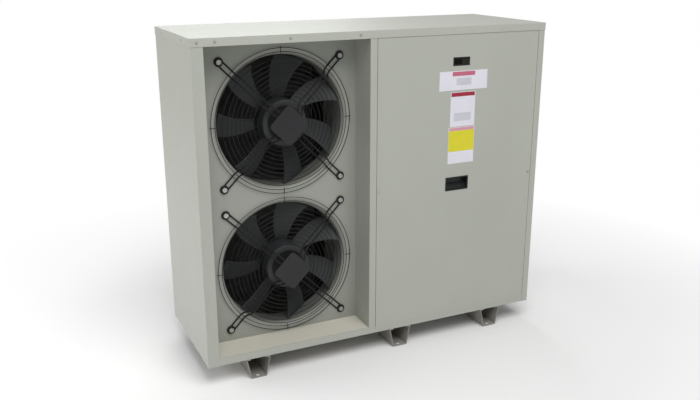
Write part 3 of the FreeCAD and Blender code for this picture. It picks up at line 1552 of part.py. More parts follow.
def export():
    """Stops on anything that failed, and then writes each piece to its own file."""
    doc.recompute()
    for entry in doc.Objects:
        if "Invalid" in entry.State or "Error" in entry.State:
            raise RuntimeError(f"{entry.Name} did not compute")
        if entry.isDerivedFrom("PartDesign::Pocket"):
            if entry.Shape.Volume > entry.BaseFeature.Shape.Volume - 0.01:
                raise RuntimeError(f"{entry.Name} cuts nothing")
    os.makedirs("parts", exist_ok=True)
    for piece in pieces:
        shape = piece.Shape
        if shape.isNull() or not shape.isValid():
            raise RuntimeError(f"{piece.Label} has no sound shape")
        shape.exportStep(f"parts/{piece.Label}.step")
        print(f"{piece.Label}: {len(shape.Solids)} solids, {shape.Volume / 1000:.1f} cm3")


build()
export()
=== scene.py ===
# %% [markdown]
# # Dressing a mini chiller
# The sizes and the joints of this machine are settled already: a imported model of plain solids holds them. This
# lesson gives those solids the look of the real thing: powder-coated sheet steel, welded wire guards, moulded
# blades. Nothing is moved, so a piece made here stands exactly where its solid stands.

# %% Load the fixed frame
import json
import math

import bmesh
import bpy
from mathutils import Matrix, Vector

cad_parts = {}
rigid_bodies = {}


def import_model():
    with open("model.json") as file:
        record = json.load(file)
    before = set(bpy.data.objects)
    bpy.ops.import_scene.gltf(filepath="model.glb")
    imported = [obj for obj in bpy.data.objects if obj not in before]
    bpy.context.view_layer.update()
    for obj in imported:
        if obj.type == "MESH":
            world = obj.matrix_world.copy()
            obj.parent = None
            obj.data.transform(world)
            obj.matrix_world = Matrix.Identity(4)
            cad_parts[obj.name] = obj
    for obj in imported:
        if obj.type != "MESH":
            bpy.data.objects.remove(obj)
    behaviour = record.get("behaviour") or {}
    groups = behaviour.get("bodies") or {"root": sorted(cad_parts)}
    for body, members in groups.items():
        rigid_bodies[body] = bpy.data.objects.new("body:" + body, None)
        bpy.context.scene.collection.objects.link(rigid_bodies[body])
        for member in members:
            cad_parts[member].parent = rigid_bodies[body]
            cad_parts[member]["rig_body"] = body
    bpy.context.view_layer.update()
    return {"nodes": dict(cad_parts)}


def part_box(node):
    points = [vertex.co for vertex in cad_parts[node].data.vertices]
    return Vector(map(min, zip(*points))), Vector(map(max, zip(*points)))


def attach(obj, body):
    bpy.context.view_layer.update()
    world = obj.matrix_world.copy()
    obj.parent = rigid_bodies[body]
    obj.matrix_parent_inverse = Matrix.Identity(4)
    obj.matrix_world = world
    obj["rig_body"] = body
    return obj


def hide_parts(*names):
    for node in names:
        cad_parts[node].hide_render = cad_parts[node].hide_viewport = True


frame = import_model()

# %% [markdown]
# ## The camera
# The photograph was taken from the front left, a little above the machine. Its straight edges give the camera: a
# 41.7 mm lens 3.3 m away, turned 25 degrees to the right of straight ahead and 17 degrees down. A camera looks
# along its own -Z, so the matrix is built from that direction and from the world's up.

# %% Camera
CAMERA_PLACE = Vector((-1.443, -3.020, 1.619))
CAMERA_LOOKS = Vector((0.4073, 0.8648, -0.2939)).normalized()
CAMERA_ROLL = math.radians(-0.06)
CAMERA_LENS = 41.67
CAMERA_SENSOR = 36


def looking(place, direction):
    """A matrix for a camera, a lamp or the end of a wire, at a place and looking along a direction."""
    across = direction.cross(Vector((0, 0, 1))).normalized()
    up = across.cross(direction)
    turn = Matrix((across, up, -direction)).transposed()
    return Matrix.Translation(place) @ turn.to_4x4()


camera_data = bpy.data.cameras.new("camera")
camera_data.sensor_width = CAMERA_SENSOR
camera_data.lens = CAMERA_LENS
camera = bpy.data.objects.new("camera", camera_data)
bpy.context.scene.collection.objects.link(camera)
camera.matrix_world = looking(CAMERA_PLACE, CAMERA_LOOKS) @ Matrix.Rotation(CAMERA_ROLL, 4, "Z")
bpy.context.scene.camera = camera
print("camera at", [round(n, 3) for n in camera.location])

# %% [markdown]
# ## Shader arithmetic
# A material is a graph of nodes, and graphs are tiresome to write by hand. A small class wraps one output socket
# and overloads the usual operators, so that `1 - mask * 0.3` adds its Math nodes by itself.


# %% A value that changes over a surface
class Value:
    """A number that changes over a surface. Arithmetic on it adds Math nodes."""

    def __init__(self, finish, socket):
        self.finish = finish
        self.socket = socket

    def reckon(self, operation, first, second):
        made = self.finish.node("ShaderNodeMath", {"operation": operation}, {0: first, 1: second})
        return Value(self.finish, made.outputs[0])

    def __add__(self, other):
        return self.reckon("ADD", self, other)

    __radd__ = __add__

    def __sub__(self, other):
        return self.reckon("SUBTRACT", self, other)

    def __rsub__(self, other):
        return self.reckon("SUBTRACT", other, self)

    def __mul__(self, other):
        return self.reckon("MULTIPLY", self, other)

    __rmul__ = __mul__

    def clamped(self):
        return self.reckon("MAXIMUM", self.reckon("MINIMUM", self, 1.0), 0.0)


print("values can be added, subtracted, multiplied and clamped")

# %% [markdown]
# A second class holds a material. All of its nodes are made by the `node` method: settings first, then the sockets.
# The Mix node keeps sockets for numbers, vectors and colours side by side, so those for colours go by their places.

# %% A material
MIX_FIRST = 6
MIX_SECOND = 7
MIX_RESULT = 2
EDGE_GAIN = 6


class Finish:
    """A material with one Principled shader."""

    def __init__(self, name, roughness, metallic=0.0, **constants):
        self.material = bpy.data.materials.new(name)
        self.material.use_nodes = True
        self.tree = self.material.node_tree
        self.surface = self.tree.nodes["Principled BSDF"]
        self.set("Roughness", roughness)
        self.set("Metallic", metallic)
        for socket, constant in constants.items():
            self.set(socket.replace("_", " "), constant)
        self.place = self.node("ShaderNodeTexCoord", {}, {}).outputs["Object"]

    def node(self, kind, settings, inputs):
        made = self.tree.nodes.new(kind)
        for key, setting in settings.items():
            setattr(made, key, setting)
        for key, entry in inputs.items():
            self.feed(made.inputs[key], entry)
        return made

    def feed(self, socket, entry):
        if isinstance(entry, Value):
            self.tree.links.new(entry.socket, socket)
        elif isinstance(entry, bpy.types.NodeSocket):
            self.tree.links.new(entry, socket)
        else:
            socket.default_value = entry

    def set(self, socket, entry):
        self.feed(self.surface.inputs[socket], entry)

    def axis(self, letter):
        """How far along X, Y or Z a point of the surface lies, in metres."""
        split = self.node("ShaderNodeSeparateXYZ", {}, {"Vector": self.place})
        return Value(self, split.outputs[letter])

    def noise(self, scale, detail=2.0, stretch=None):
        """Soft random blotches, with `scale` of them to the metre."""
        place = self.place
        if stretch:
            place = self.node("ShaderNodeMapping", {}, {"Vector": self.place, "Scale": stretch}).outputs[0]
        made = self.node("ShaderNodeTexNoise", {}, {"Vector": place, "Scale": scale, "Detail": detail})
        return Value(self, made.outputs["Fac"])

    def blend(self, share, first, second):
        """A colour between two others, or between what two sockets give."""
        ends = [end if isinstance(end, bpy.types.NodeSocket) else (*end, 1.0) for end in (first, second)]
        inputs = {0: share, MIX_FIRST: ends[0], MIX_SECOND: ends[1]}
        return self.node("ShaderNodeMix", {"data_type": "RGBA"}, inputs).outputs[MIX_RESULT]

    def bump(self, height, distance, strength=0.5):
        inputs = {"Height": height, "Distance": distance, "Strength": strength}
        self.set("Normal", self.node("ShaderNodeBump", {}, inputs).outputs["Normal"])

    def edges(self, width):
        """1 along the edges of a piece and 0 on its faces."""
        rounded = self.node("ShaderNodeBevel", {"samples": 4}, {"Radius": width}).outputs["Normal"]
        true = self.node("ShaderNodeNewGeometry", {}, {}).outputs["Normal"]
        made = self.node("ShaderNodeVectorMath", {"operation": "DOT_PRODUCT"}, {0: rounded, 1: true})
        return ((1 - Value(self, made.outputs["Value"])) * EDGE_GAIN).clamped()


print("shader helpers are ready")

# %% [markdown]
# ## Powder-coated sheet steel
# Powder coat is a satin film with a fine orange peel that shows only in its highlights. On a machine that has stood
# outside, its tone drifts a few percent over a panel and it is a shade lighter where the film is thin, at the
# bends. A broad noise and an upright streak give the tone, and a fine noise, under a millimetre, gives the peel.

# %% Paint
CLOUD_SCALE = 2.3
CLOUD_DETAIL = 3.0
TONE_DRIFT = 0.07
WORN_EDGE = 0.0012
PEEL_SCALE = 1100.0
PEEL_DEPTH = 0.00003


def shade(color, factor):
    return tuple(min(1.0, channel * factor) for channel in color)


def orange_peel(finish):
    finish.bump(finish.noise(PEEL_SCALE, 1.0), PEEL_DEPTH)


def powder_coat(name, color):
    finish = Finish(name, 0.46, Specular_IOR_Level=0.42)
    cloud = finish.noise(CLOUD_SCALE, CLOUD_DETAIL)
    streak = finish.noise(9.0, stretch=(1.0, 1.0, 0.12))
    tone = (cloud * 0.7 + streak * 0.3).clamped()
    base = finish.blend(tone, shade(color, 1 - TONE_DRIFT), shade(color, 1 + TONE_DRIFT))
    worn = finish.edges(WORN_EDGE) * 0.35
    finish.set("Base Color", finish.blend(worn, base, shade(color, 1.16)))
    finish.set("Roughness", 0.4 + finish.noise(30.0) * 0.12)
    orange_peel(finish)
    return finish.material


PANEL_GREY = (0.415, 0.428, 0.382)
panel_paint = powder_coat("panel_paint", PANEL_GREY)
# The lid's paint is the panel grey 3 % lighter: painted light on the top cover.
lit_lid_paint = powder_coat("lit_lid_paint", shade(PANEL_GREY, 1.03))
foot_paint = powder_coat("foot_paint", (0.29, 0.278, 0.25))
# The deck's paint is the panel grey a fifth darker: painted shade of the recess that the deck stands in.
shaded_deck_paint = powder_coat("shaded_deck_paint", shade(PANEL_GREY, 0.80))
vessel_paint = powder_coat("vessel_paint", (0.36, 0.035, 0.03))
print("paints:", panel_paint.name, lit_lid_paint.name, foot_paint.name, shaded_deck_paint.name, vessel_paint.name)

# %% [markdown]
# The tray has the same paint. Its floor carries painted light in front of the fans, a pale yellowish tone for the
# light that falls there from above, and painted shade behind them, a near black for the dark fan chamber. Both masks
# are made
# from distances: to the tray's left and front skirts, to the divider and to the fan deck. So each ends where the
# floor that carries it ends.

# %% Tray paint
TRAY_SKIRT = 0.003
MASK_RISE = 300
# Painted light: a pale yellowish floor colour in front of the fans, for the light that falls there from above.
FLOOR_PAINTED_LIGHT = (0.60, 0.58, 0.49)
# Painted shade: a near-black floor colour behind the fan deck, for the dark fan chamber.
FLOOR_PAINTED_SHADE = (0.05, 0.05, 0.045)


def ramp(distance):
    """0 up to a line, and 1 from 3 mm past it."""
    return (distance * MASK_RISE).clamped()


def tray_with_painted_light_and_shade():
    finish = Finish("tray_paint", 0.46, Specular_IOR_Level=0.42)
    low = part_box("base_tray")[0]
    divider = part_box("fan_bay_divider")[0].x
    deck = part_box("fan_deck")[0].y
    across = finish.axis("X")
    along = finish.axis("Y")
    bay = ramp(across - (low.x + TRAY_SKIRT)) * ramp(divider - across)
    before_deck = ramp(along - (low.y + TRAY_SKIRT)) * ramp(deck - along)
    behind_deck = ramp(along - deck)
    patchy = (0.75 + finish.noise(5.0, 3.0) * 0.4).clamped()
    # Where the floor in front of the fans takes its painted light.
    dust_and_painted_light = bay * before_deck * patchy
    cloud = finish.noise(CLOUD_SCALE, CLOUD_DETAIL)
    clean = finish.blend(cloud, shade(PANEL_GREY, 0.97), shade(PANEL_GREY, 1.03))
    dusty_and_lit = finish.blend(dust_and_painted_light, clean, FLOOR_PAINTED_LIGHT)
    # Behind the deck the floor turns near black: painted shade.
    finish.set("Base Color", finish.blend(bay * behind_deck * patchy, dusty_and_lit, FLOOR_PAINTED_SHADE))
    finish.set("Roughness", 0.44 + dust_and_painted_light * 0.3)
    orange_peel(finish)
    return finish.material


tray_paint = tray_with_painted_light_and_shade()
print("tray:", tray_paint.name)

# %% [markdown]
# ## Galvanised, plated and bare metal
# Hot-dip zinc freezes in flat crystals called spangle. A Voronoi texture has just such cells, each with a random
# colour, and turning that colour to grey gives every crystal its own tone and gloss. Plated screws and bare copper
# have no crystals, only a soft cloudiness, so they share one recipe. Two dark paints that lie thinly on cast and
# drawn metal have it too.


# %% Metals
def galvanised_steel():
    finish = Finish("galvanised_steel", 0.42, 0.55)
    crystals = finish.node("ShaderNodeTexVoronoi", {}, {"Vector": finish.place, "Scale": 55.0})
    tone = Value(finish, crystals.outputs["Color"])
    base = finish.blend(tone * 0.6 + finish.noise(6.0) * 0.4, (0.2, 0.205, 0.205), (0.33, 0.335, 0.33))
    finish.set("Base Color", base)
    finish.set("Roughness", 0.38 + tone * 0.16)
    finish.bump(finish.noise(260.0), 0.00006, 0.4)
    return finish.material


def cloudy_metal(name, dark, light, roughness, metallic=1.0):
    finish = Finish(name, roughness, metallic)
    cloud = finish.noise(38.0, 4.0)
    finish.set("Base Color", finish.blend(cloud, dark, light))
    finish.set("Roughness", roughness - 0.08 + cloud * 0.16)
    finish.bump(finish.noise(700.0, 1.0), 0.00003, 0.4)
    return finish.material


galvanised = galvanised_steel()
zinc_plate = cloudy_metal("zinc_plate", (0.4, 0.4, 0.39), (0.56, 0.56, 0.55), 0.36)
copper_tube = cloudy_metal("copper_tube", (0.5, 0.22, 0.12), (0.78, 0.4, 0.26), 0.34)
pump_iron = cloudy_metal("pump_iron", (0.05, 0.055, 0.06), (0.09, 0.095, 0.1), 0.55, metallic=0.2)
shell_black = cloudy_metal("shell_black", (0.012, 0.012, 0.013), (0.022, 0.022, 0.024), 0.3, metallic=0.0)
print("metals:", galvanised.name, zinc_plate.name, copper_tube.name, pump_iron.name, shell_black.name)

# %% [markdown]
# ## Fins
# The condenser's fins are bare aluminium, a few tenths of a millimetre thick. They dull and catch dust in bands, so
# the colour drifts along their height. The blocks of fin seen through the blades are nearly black, because hardly
# any light reaches them.


# %% Fin metal
def fin_metal():
    finish = Finish("fin_metal", 0.5, 0.7)
    dust_and_painted_light = finish.noise(14.0, 4.0, stretch=(1.0, 1.0, 0.2))
    finish.set("Base Color", finish.blend(dust_and_painted_light, (0.24, 0.24, 0.24), (0.44, 0.44, 0.43)))
    finish.set("Roughness", 0.42 + dust_and_painted_light * 0.25)
    return finish.material


fin_aluminium = fin_metal()
print("fins:", fin_aluminium.name)

# %% [markdown]
# ## Plastics, rubber, foam and thin black paint
# Glass-filled plastic has a fine grain and goes grey where the rain and the air have worked on it. One recipe with
# a grain, a dusty second colour and a roughness serves the blades and the black trim, the rubber and the foam, the
# coat on the wires and the thin paint on the motors, each with its own numbers.


# %% Plastics
def moulded(name, color, dusty_and_lit, roughness, grain_scale, grain_depth, dust_and_painted_light=0.5, specular=0.3):
    finish = Finish(name, roughness, Specular_IOR_Level=specular)
    settled = (finish.noise(11.0, 4.0) * 1.6 - 0.45).clamped() * dust_and_painted_light
    finish.set("Base Color", finish.blend(settled, color, dusty_and_lit))
    finish.set("Roughness", roughness - 0.06 + settled * 0.2)
    finish.bump(finish.noise(grain_scale), grain_depth)
    return finish.material


blade_plastic = moulded("blade_plastic", (0.036, 0.038, 0.040), (0.058, 0.060, 0.062), 0.46, 650.0, 0.00005)
black_plastic = moulded("black_plastic", (0.012, 0.012, 0.012), (0.03, 0.03, 0.03), 0.4, 800.0, 0.00005, dust_and_painted_light=0.3)
cup_plastic = moulded("cup_plastic", (0.011, 0.012, 0.012), (0.02, 0.021, 0.02), 0.34, 800.0, 0.00005, dust_and_painted_light=0.3)
rubber = moulded("rubber", (0.018, 0.018, 0.018), (0.04, 0.04, 0.038), 0.75, 400.0, 0.0001)
foam = moulded("foam", (0.022, 0.022, 0.024), (0.035, 0.035, 0.036), 0.9, 230.0, 0.0004)
print("plastics:", blade_plastic.name, black_plastic.name, cup_plastic.name, rubber.name, foam.name)

# %% Coats on wires and motors
wire_coat = moulded(
    "wire_coat", (0.013, 0.0135, 0.013), (0.019, 0.0195, 0.019), 0.62, 900.0, 0.00003, specular=0.24
)
motor_paint = moulded("motor_paint", (0.014, 0.014, 0.015), (0.026, 0.026, 0.027), 0.45, 500.0, 0.00004)
plate_paint = moulded("plate_paint", (0.021, 0.020, 0.022), (0.028, 0.027, 0.029), 0.42, 500.0, 0.00004)
# A near-black paint for the coil baffle: painted shade, the dark of the fan chamber behind the blades.
painted_shade_black = moulded("painted_shade_black", (0.010, 0.010, 0.010), (0.018, 0.018, 0.018), 0.6, 500.0, 0.00004)
print("coats:", wire_coat.name, motor_paint.name, plate_paint.name, painted_shade_black.name)

# %% [markdown]
# ## From a solid to a finished piece
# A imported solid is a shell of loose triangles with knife-sharp edges. Real sheet metal and castings have edges that
# catch a thin line of light. So most pieces are a copy of their solid: doubles are merged, coplanar triangles are
# dissolved into whole faces, curved stretches are shaded smooth, and a narrow Bevel rounds what is left sharp.

# %% Copy, clean and round
SHARP = math.radians(32)
COPLANAR = math.radians(0.4)
MERGE = 0.000002


def new_piece(name, body, material, ridden, stands_for=()):
    """Turns a bmesh into an object that rides on a body and stands for CAD nodes."""
    mesh = bpy.data.meshes.new(name)
    body.to_mesh(mesh)
    body.free()
    piece = bpy.data.objects.new(name, mesh)
    bpy.context.scene.collection.objects.link(piece)
    mesh.materials.append(material)
    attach(piece, ridden)
    if stands_for:
        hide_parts(*stands_for)
    return piece


def smooth(body, limit=SHARP):
    """Smooth faces, with sharp edges where two faces meet at more than the limit."""
    for face in body.faces:
        face.smooth = True
    for edge in body.edges:
        edge.smooth = len(edge.link_faces) == 2 and edge.calc_face_angle() < limit


def round_edges(piece, width, segments=2):
    bevel = piece.modifiers.new("round_edges", "BEVEL")
    bevel.width = width
    bevel.segments = segments
    bevel.limit_method = "ANGLE"
    bevel.angle_limit = SHARP
    bevel.harden_normals = True
    return piece


def finished_copy(node, material, width):
    """A rounded copy of a CAD node, in its place."""
    body = bmesh.new()
    body.from_mesh(frame["nodes"][node].data)
    bmesh.ops.remove_doubles(body, verts=body.verts, dist=MERGE)
    bmesh.ops.dissolve_limit(body, angle_limit=COPLANAR, verts=body.verts, edges=body.edges)
    smooth(body)
    ridden = frame["nodes"][node]["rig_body"]
    piece = new_piece(f"{node}_finished", body, material, ridden, [node])
    return round_edges(piece, width) if width else piece


print("edges over", round(math.degrees(SHARP)), "degrees are rounded")

# %% [markdown]
# Each group below shares a finish. The width is the radius of its edges in metres: folded sheet is rounded more
# than a turned part, and the tiny keys less. A width of 0 leaves the edges to the solid.

# %% Sheet metal, castings and small parts
GROUPS = [
    (panel_paint, "cabinet_paint", 0.0007, "left_side_panel right_side_panel fan_bay_divider"),
    (panel_paint, "cabinet_paint", 0.0007, "front_rail rear_panel access_panel"),
    (lit_lid_paint, "cabinet_paint", 0.0006, "top_cover"),
    (tray_paint, "galvanised", 0.0008, "base_tray"),
    (foot_paint, "galvanised", 0.0012, "foot_left foot_middle foot_right"),
    # The coil baffle is near black: painted shade.
    (painted_shade_black, "galvanised", 0.0, "coil_baffle"),
    (galvanised, "galvanised", 0.0006, "coil_end_plates electrical_box electrical_box_cover"),
    (motor_paint, "motor_metal", 0.0012, "upper_rotor lower_rotor upper_stator lower_stator"),
    (zinc_plate, "motor_metal", 0.0003, "upper_bearings lower_bearings"),
    (plate_paint, "black_steel", 0.0009, "upper_motor_plate lower_motor_plate"),
    (zinc_plate, "zinc", 0.0004, "cover_screws foot_bolts"),
    (zinc_plate, "zinc", 0.0002, "panel_lock_left panel_lock_right"),
    (cup_plastic, "black_plastic", 0.0006, "pull_cup"),
    (black_plastic, "black_plastic", 0.0005, "controller terminal_cover cable_gland"),
    (black_plastic, "black_plastic", 0.0003, "key_1 key_2 key_3 key_4"),
    (foam, "foam", 0.001, "panel_seal heat_exchanger"),
    (shell_black, "black_shell", 0.002, "compressor suction_accumulator"),
    (rubber, "rubber", 0.002, "compressor_mounts"),
    (vessel_paint, "vessel_paint", 0.002, "expansion_vessel"),
    (pump_iron, "pump_iron", 0.0015, "pump"),
    (copper_tube, "copper", 0.0, "discharge_pipe liquid_pipe suction_pipe coil_headers vessel_pipe"),
    (copper_tube, "copper", 0.0006, "filter_drier expansion_valve water_inlet_pipe water_outlet_pipe"),
]
for material, slot_name, width, nodes in GROUPS:
    for node in nodes.split():
        finished_copy(node, material, width)
print("finished copies:", sum(len(nodes.split()) for *_, nodes in GROUPS))

# %% [markdown]
# ## Fan deck with its bell-mouths
# A bell-mouth is pressed from the deck: the sheet rolls over in a quarter circle and runs into a straight throat.
# The operator for anything round is Spin: an outline of a few vertices is turned about the fan's axis in many small
# steps. The flat sheet around it starts from the rim circle, whose edges are extruded and pushed outwards to a
# rectangle, so that the sheet's faces run neatly into the round hole.

# %% Sizes of the fans, measured on the frame
guard_low, guard_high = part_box("upper_guard")
lower_guard_low, lower_guard_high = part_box("lower_guard")
deck_low, deck_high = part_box("fan_deck")
FAN_X = (guard_low.x + guard_high.x) / 2
FAN_Z = {
    "upper": (guard_low.z + guard_high.z) / 2,
    "lower": (lower_guard_low.z + lower_guard_high.z) / 2,
}
DECK_FRONT = deck_low.y
DECK_BACK = deck_high.y
SHEET = 0.0015
THROAT_RADIUS = 0.255
FLARE_RADIUS = 0.283
print("fans at x", round(FAN_X, 3), "and z", {name: round(z, 3) for name, z in FAN_Z.items()})

# %% A turned outline
ROUND_STEPS = 128
FACING_FRONT = Matrix.Rotation(math.pi / 2, 4, "X")


def only(kind, made):
    """The vertices, or the edges, among what an operator made."""
    return [entry for entry in made["geom"] if isinstance(entry, kind)]


def edges_at(verts):
    """The edges that meet these vertices, each once and in the same order each run."""
    return list(dict.fromkeys(edge for vert in verts for edge in vert.link_edges))


def turned_surface(body, outline, centre, steps=ROUND_STEPS):
    """Spins an outline of (radius, y) points about the fan axis through a centre."""
    verts = [body.verts.new((centre.x + radius, y, centre.z)) for radius, y in outline]
    edges = [body.edges.new(pair) for pair in zip(verts, verts[1:] + verts[:1])]
    bmesh.ops.spin(
        body,
        geom=verts + edges,
        cent=(centre.x, 0, centre.z),
        axis=(0, 1, 0),
        angle=2 * math.pi,
        steps=steps,
        use_merge=True,
        use_duplicate=False,
    )


def finish_normals(body):
    bmesh.ops.remove_doubles(body, verts=body.verts, dist=MERGE)
    bmesh.ops.recalc_face_normals(body, faces=body.faces)


print("a full turn takes", ROUND_STEPS, "steps")

# %% [markdown]
# The bell-mouths have the deck's paint, darkening from the rim into the throat: painted shade, deepest where the
# throat runs back behind the blades.

# %% Throat paint
SHADE_START = 0.001
SHADE_RISE = 45


def shaded_throat_coat():
    finish = Finish("shaded_throat_paint", 0.5, Specular_IOR_Level=0.3)
    patchy = 0.8 + finish.noise(7.0) * 0.4
    # Painted shade: the paint darkens from just behind the rim into the throat.
    throat_shade = ((finish.axis("Y") - (DECK_FRONT + SHADE_START)) * SHADE_RISE * patchy).clamped()
    cloud = finish.noise(CLOUD_SCALE, CLOUD_DETAIL)
    clean = finish.blend(cloud, shade(PANEL_GREY, 0.9), shade(PANEL_GREY, 1.0))
    finish.set("Base Color", finish.blend(throat_shade, clean, shade(PANEL_GREY, 0.38)))
    finish.set("Roughness", 0.45 + throat_shade * 0.2)
    orange_peel(finish)
    return finish.material


shaded_throat_paint = shaded_throat_coat()
print("throats:", shaded_throat_paint.name)

# %% Bell-mouths
ROLL_STEPS = 8


def mouth_outline():
    """The (radius, y) points of the rolled edge and the throat, up the inside and back down the outside."""
    flare = FLARE_RADIUS - THROAT_RADIUS
    inside = []
    outside = []
    for step in range(ROLL_STEPS + 1):
        angle = math.pi / 2 * step / ROLL_STEPS
        for points, radius in ((inside, flare), (outside, flare - SHEET)):
            points.append((
                FLARE_RADIUS - radius * math.sin(angle),
                DECK_FRONT + flare - radius * math.cos(angle),
            ))
    inside.append((THROAT_RADIUS, DECK_BACK))
    outside.append((THROAT_RADIUS + SHEET, DECK_BACK))
    return inside + outside[::-1]


for name, z in FAN_Z.items():
    body = bmesh.new()
    turned_surface(body, mouth_outline(), Vector((FAN_X, 0, z)))
    finish_normals(body)
    smooth(body)
    piece = new_piece(f"{name}_bell_mouth", body, shaded_throat_paint, "cabinet", ["fan_deck"])
    print(piece.name, len(piece.data.polygons), "faces")

# %% A sheet round a mouth
NO_MOVE = 1e-9


def push_to_rectangle(vert, centre, low, high):
    """Moves a vertex outwards from a centre until it meets the side of a rectangle."""
    way = Vector((vert.co.x - centre.x, 0, vert.co.z - centre.z))
    reaches = [
        (side - start) / step
        for step, start, sides in ((way.x, centre.x, (low.x, high.x)), (way.z, centre.z, (low.z, high.z)))
        for side in sides
        if abs(step) > NO_MOVE and (side - start) / step > 0
    ]
    vert.co = Vector((centre.x, vert.co.y, centre.z)) + way * min(reaches)


def sheet_with_hole(body, centre, low, high):
    """A flat rectangle round the rim circle of a bell-mouth."""
    place = Matrix.Translation((centre.x, DECK_FRONT, centre.z)) @ FACING_FRONT
    circle = {"segments": ROUND_STEPS, "radius": FLARE_RADIUS, "matrix": place}
    rim = bmesh.ops.create_circle(body, **circle)["verts"]
    outer = only(bmesh.types.BMVert, bmesh.ops.extrude_edge_only(body, edges=edges_at(rim)))
    for vert in outer:
        push_to_rectangle(vert, centre, low, high)
    for corner_x in (low.x, high.x):
        for corner_z in (low.z, high.z):
            corner = Vector((corner_x, DECK_FRONT, corner_z))
            nearest = min(outer, key=lambda vert: (vert.co - corner).length)
            nearest.co = corner


print("sheet helpers are ready")


# %% The deck sheet
def fan_deck_sheet():
    body = bmesh.new()
    middle_z = (FAN_Z["upper"] + FAN_Z["lower"]) / 2
    heights = {"upper": (middle_z, deck_high.z), "lower": (deck_low.z, middle_z)}
    for name, z in FAN_Z.items():
        bottom, top = heights[name]
        low = Vector((deck_low.x, 0, bottom))
        high = Vector((deck_high.x, 0, top))
        sheet_with_hole(body, Vector((FAN_X, 0, z)), low, high)
    finish_normals(body)
    if body.faces[:][0].normal.y > 0:
        bmesh.ops.reverse_faces(body, faces=body.faces)
    piece = new_piece("deck_sheet", body, shaded_deck_paint, "cabinet", ["fan_deck"])
    thickness = piece.modifiers.new("sheet_thickness", "SOLIDIFY")
    thickness.thickness = SHEET
    thickness.offset = -1
    return piece


deck_sheet = fan_deck_sheet()
print(deck_sheet.name, len(deck_sheet.data.polygons), "faces")

# %% [markdown]
# ## Wire guards
# A guard is bent and welded from round wire. Rings are a spun circle. An arm is two wires side by side that run out
# from the motor plate, bend down over the shoulder and end in an eyelet, a flattened ring that the screw holds. To
# lay a wire along any route, a small circle is extruded from point to point, and each new ring of vertices slides
# along the wire until it lies in the plane that halves the bend. That keeps the wire equally thick through a bend.

# %% Laying a wire
UPRIGHT = 0.99


def slide_to_plane(vert, along, point, normal):
    vert.co += along * ((point - vert.co).dot(normal) / along.dot(normal))


def lay_wire(body, route, radius, sides=10):
    """A round wire through the points of a route, mitred at the bends, with closed ends."""
    ways = [(after - before).normalized() for before, after in zip(route, route[1:])]
    start = looking(route[0], ways[0]) if abs(ways[0].z) < UPRIGHT else Matrix.Translation(route[0])
    ring = bmesh.ops.create_circle(body, cap_ends=True, segments=sides, radius=radius, matrix=start)["verts"]
    edges = edges_at(ring)
    for point, along, onward in zip(route[1:], ways, ways[1:] + ways[-1:]):
        made = bmesh.ops.extrude_edge_only(body, edges=edges)
        ring = only(bmesh.types.BMVert, made)
        for vert in ring:
            slide_to_plane(vert, along, point, (along + onward).normalized())
        drawn = only(bmesh.types.BMEdge, made)
        edges = [edge for edge in drawn if all(vert in ring for vert in edge.verts)]
    bmesh.ops.contextual_create(body, geom=edges)


def wire_ring(body, centre, radius, wire_radius, steps=112, sides=8):
    """A ring of round wire about the fan axis."""
    place = Matrix.Translation(centre + Vector((radius, 0, 0)))
    circle = bmesh.ops.create_circle(body, segments=sides, radius=wire_radius, matrix=place)["verts"]
    turn = {"cent": centre, "axis": (0, 1, 0), "angle": 2 * math.pi, "steps": steps, "use_merge": True}
    bmesh.ops.spin(body, geom=circle + edges_at(circle), use_duplicate=False, **turn)


print("wire helpers are ready")

# %% [markdown]
# The arm's line is a list of (radius, height over the deck) corners. Rings are welded on top of the arms, so each
# stands as high as the arms do at its radius, sunk half a millimetre into them. ARM_WIRE and RING_WIRE are radii.

# %% Sizes of a guard
ARM_WIRE = 0.003
RING_WIRE = 0.00125
RING_WELD = 0.0005
RIM_RINGS = (0.283, 0.268)
RAISED_RINGS = [0.246 - 0.017 * number for number in range(10)]
EYELET_REACH = 0.342
ARM_LINE = ((EYELET_REACH, 0.0), (0.262, 0.0), (0.240, 0.028), (0.100, 0.028), (0.0583, 0.075))
ARM_HALF_GAP = 0.0105
BEND_REACH = 0.013
EYELET_RADIUS = 0.01375
EYELET_HALF = 0.00375
EYELET_STEPS = 36
SPOKE_ENDS = (0.288, 0.262)
GUARD_BACK = guard_high.y
WIRE_SHARP = math.radians(60)
ARM_TURNS = [math.radians(45 + 90 * quarter) for quarter in range(4)]
SPOKE_TURNS = [math.radians(90 * quarter) for quarter in range(4)]
print("a guard has", len(RIM_RINGS) + len(RAISED_RINGS), "rings and", len(ARM_TURNS), "double arms")


# %% Arms and eyelets
def lift(radius):
    """How far the arms hold a ring of this radius in front of the deck."""
    for (outer, low), (inner, high) in zip(ARM_LINE, ARM_LINE[1:]):
        if radius >= inner:
            return low + (high - low) * (outer - radius) / (outer - inner)
    return high


def soft_bends(route, reach, steps=4):
    """Replaces each corner of a route by a short curve that starts and ends `reach` from it."""
    bent = [route[0]]
    for before, corner, after in zip(route, route[1:], route[2:]):
        start = corner + (before - corner).normalized() * reach
        end = corner + (after - corner).normalized() * reach
        for step in range(steps + 1):
            share = step / steps
            bent.append(start.lerp(corner, share).lerp(corner.lerp(end, share), share))
    return bent + [route[-1]]


def arm_route(side):
    """From the motor plate to the eyelet, on one side (-1 or 1) of the twelve o'clock radius."""
    flat = GUARD_BACK - ARM_WIRE
    across = side * ARM_HALF_GAP
    corners = [Vector((across, flat - height, radius)) for radius, height in reversed(ARM_LINE[1:])]
    into_eyelet = math.sqrt(EYELET_RADIUS**2 - ARM_HALF_GAP**2)
    corners.append(Vector((across, flat, EYELET_REACH - into_eyelet)))
    return soft_bends(corners, BEND_REACH)


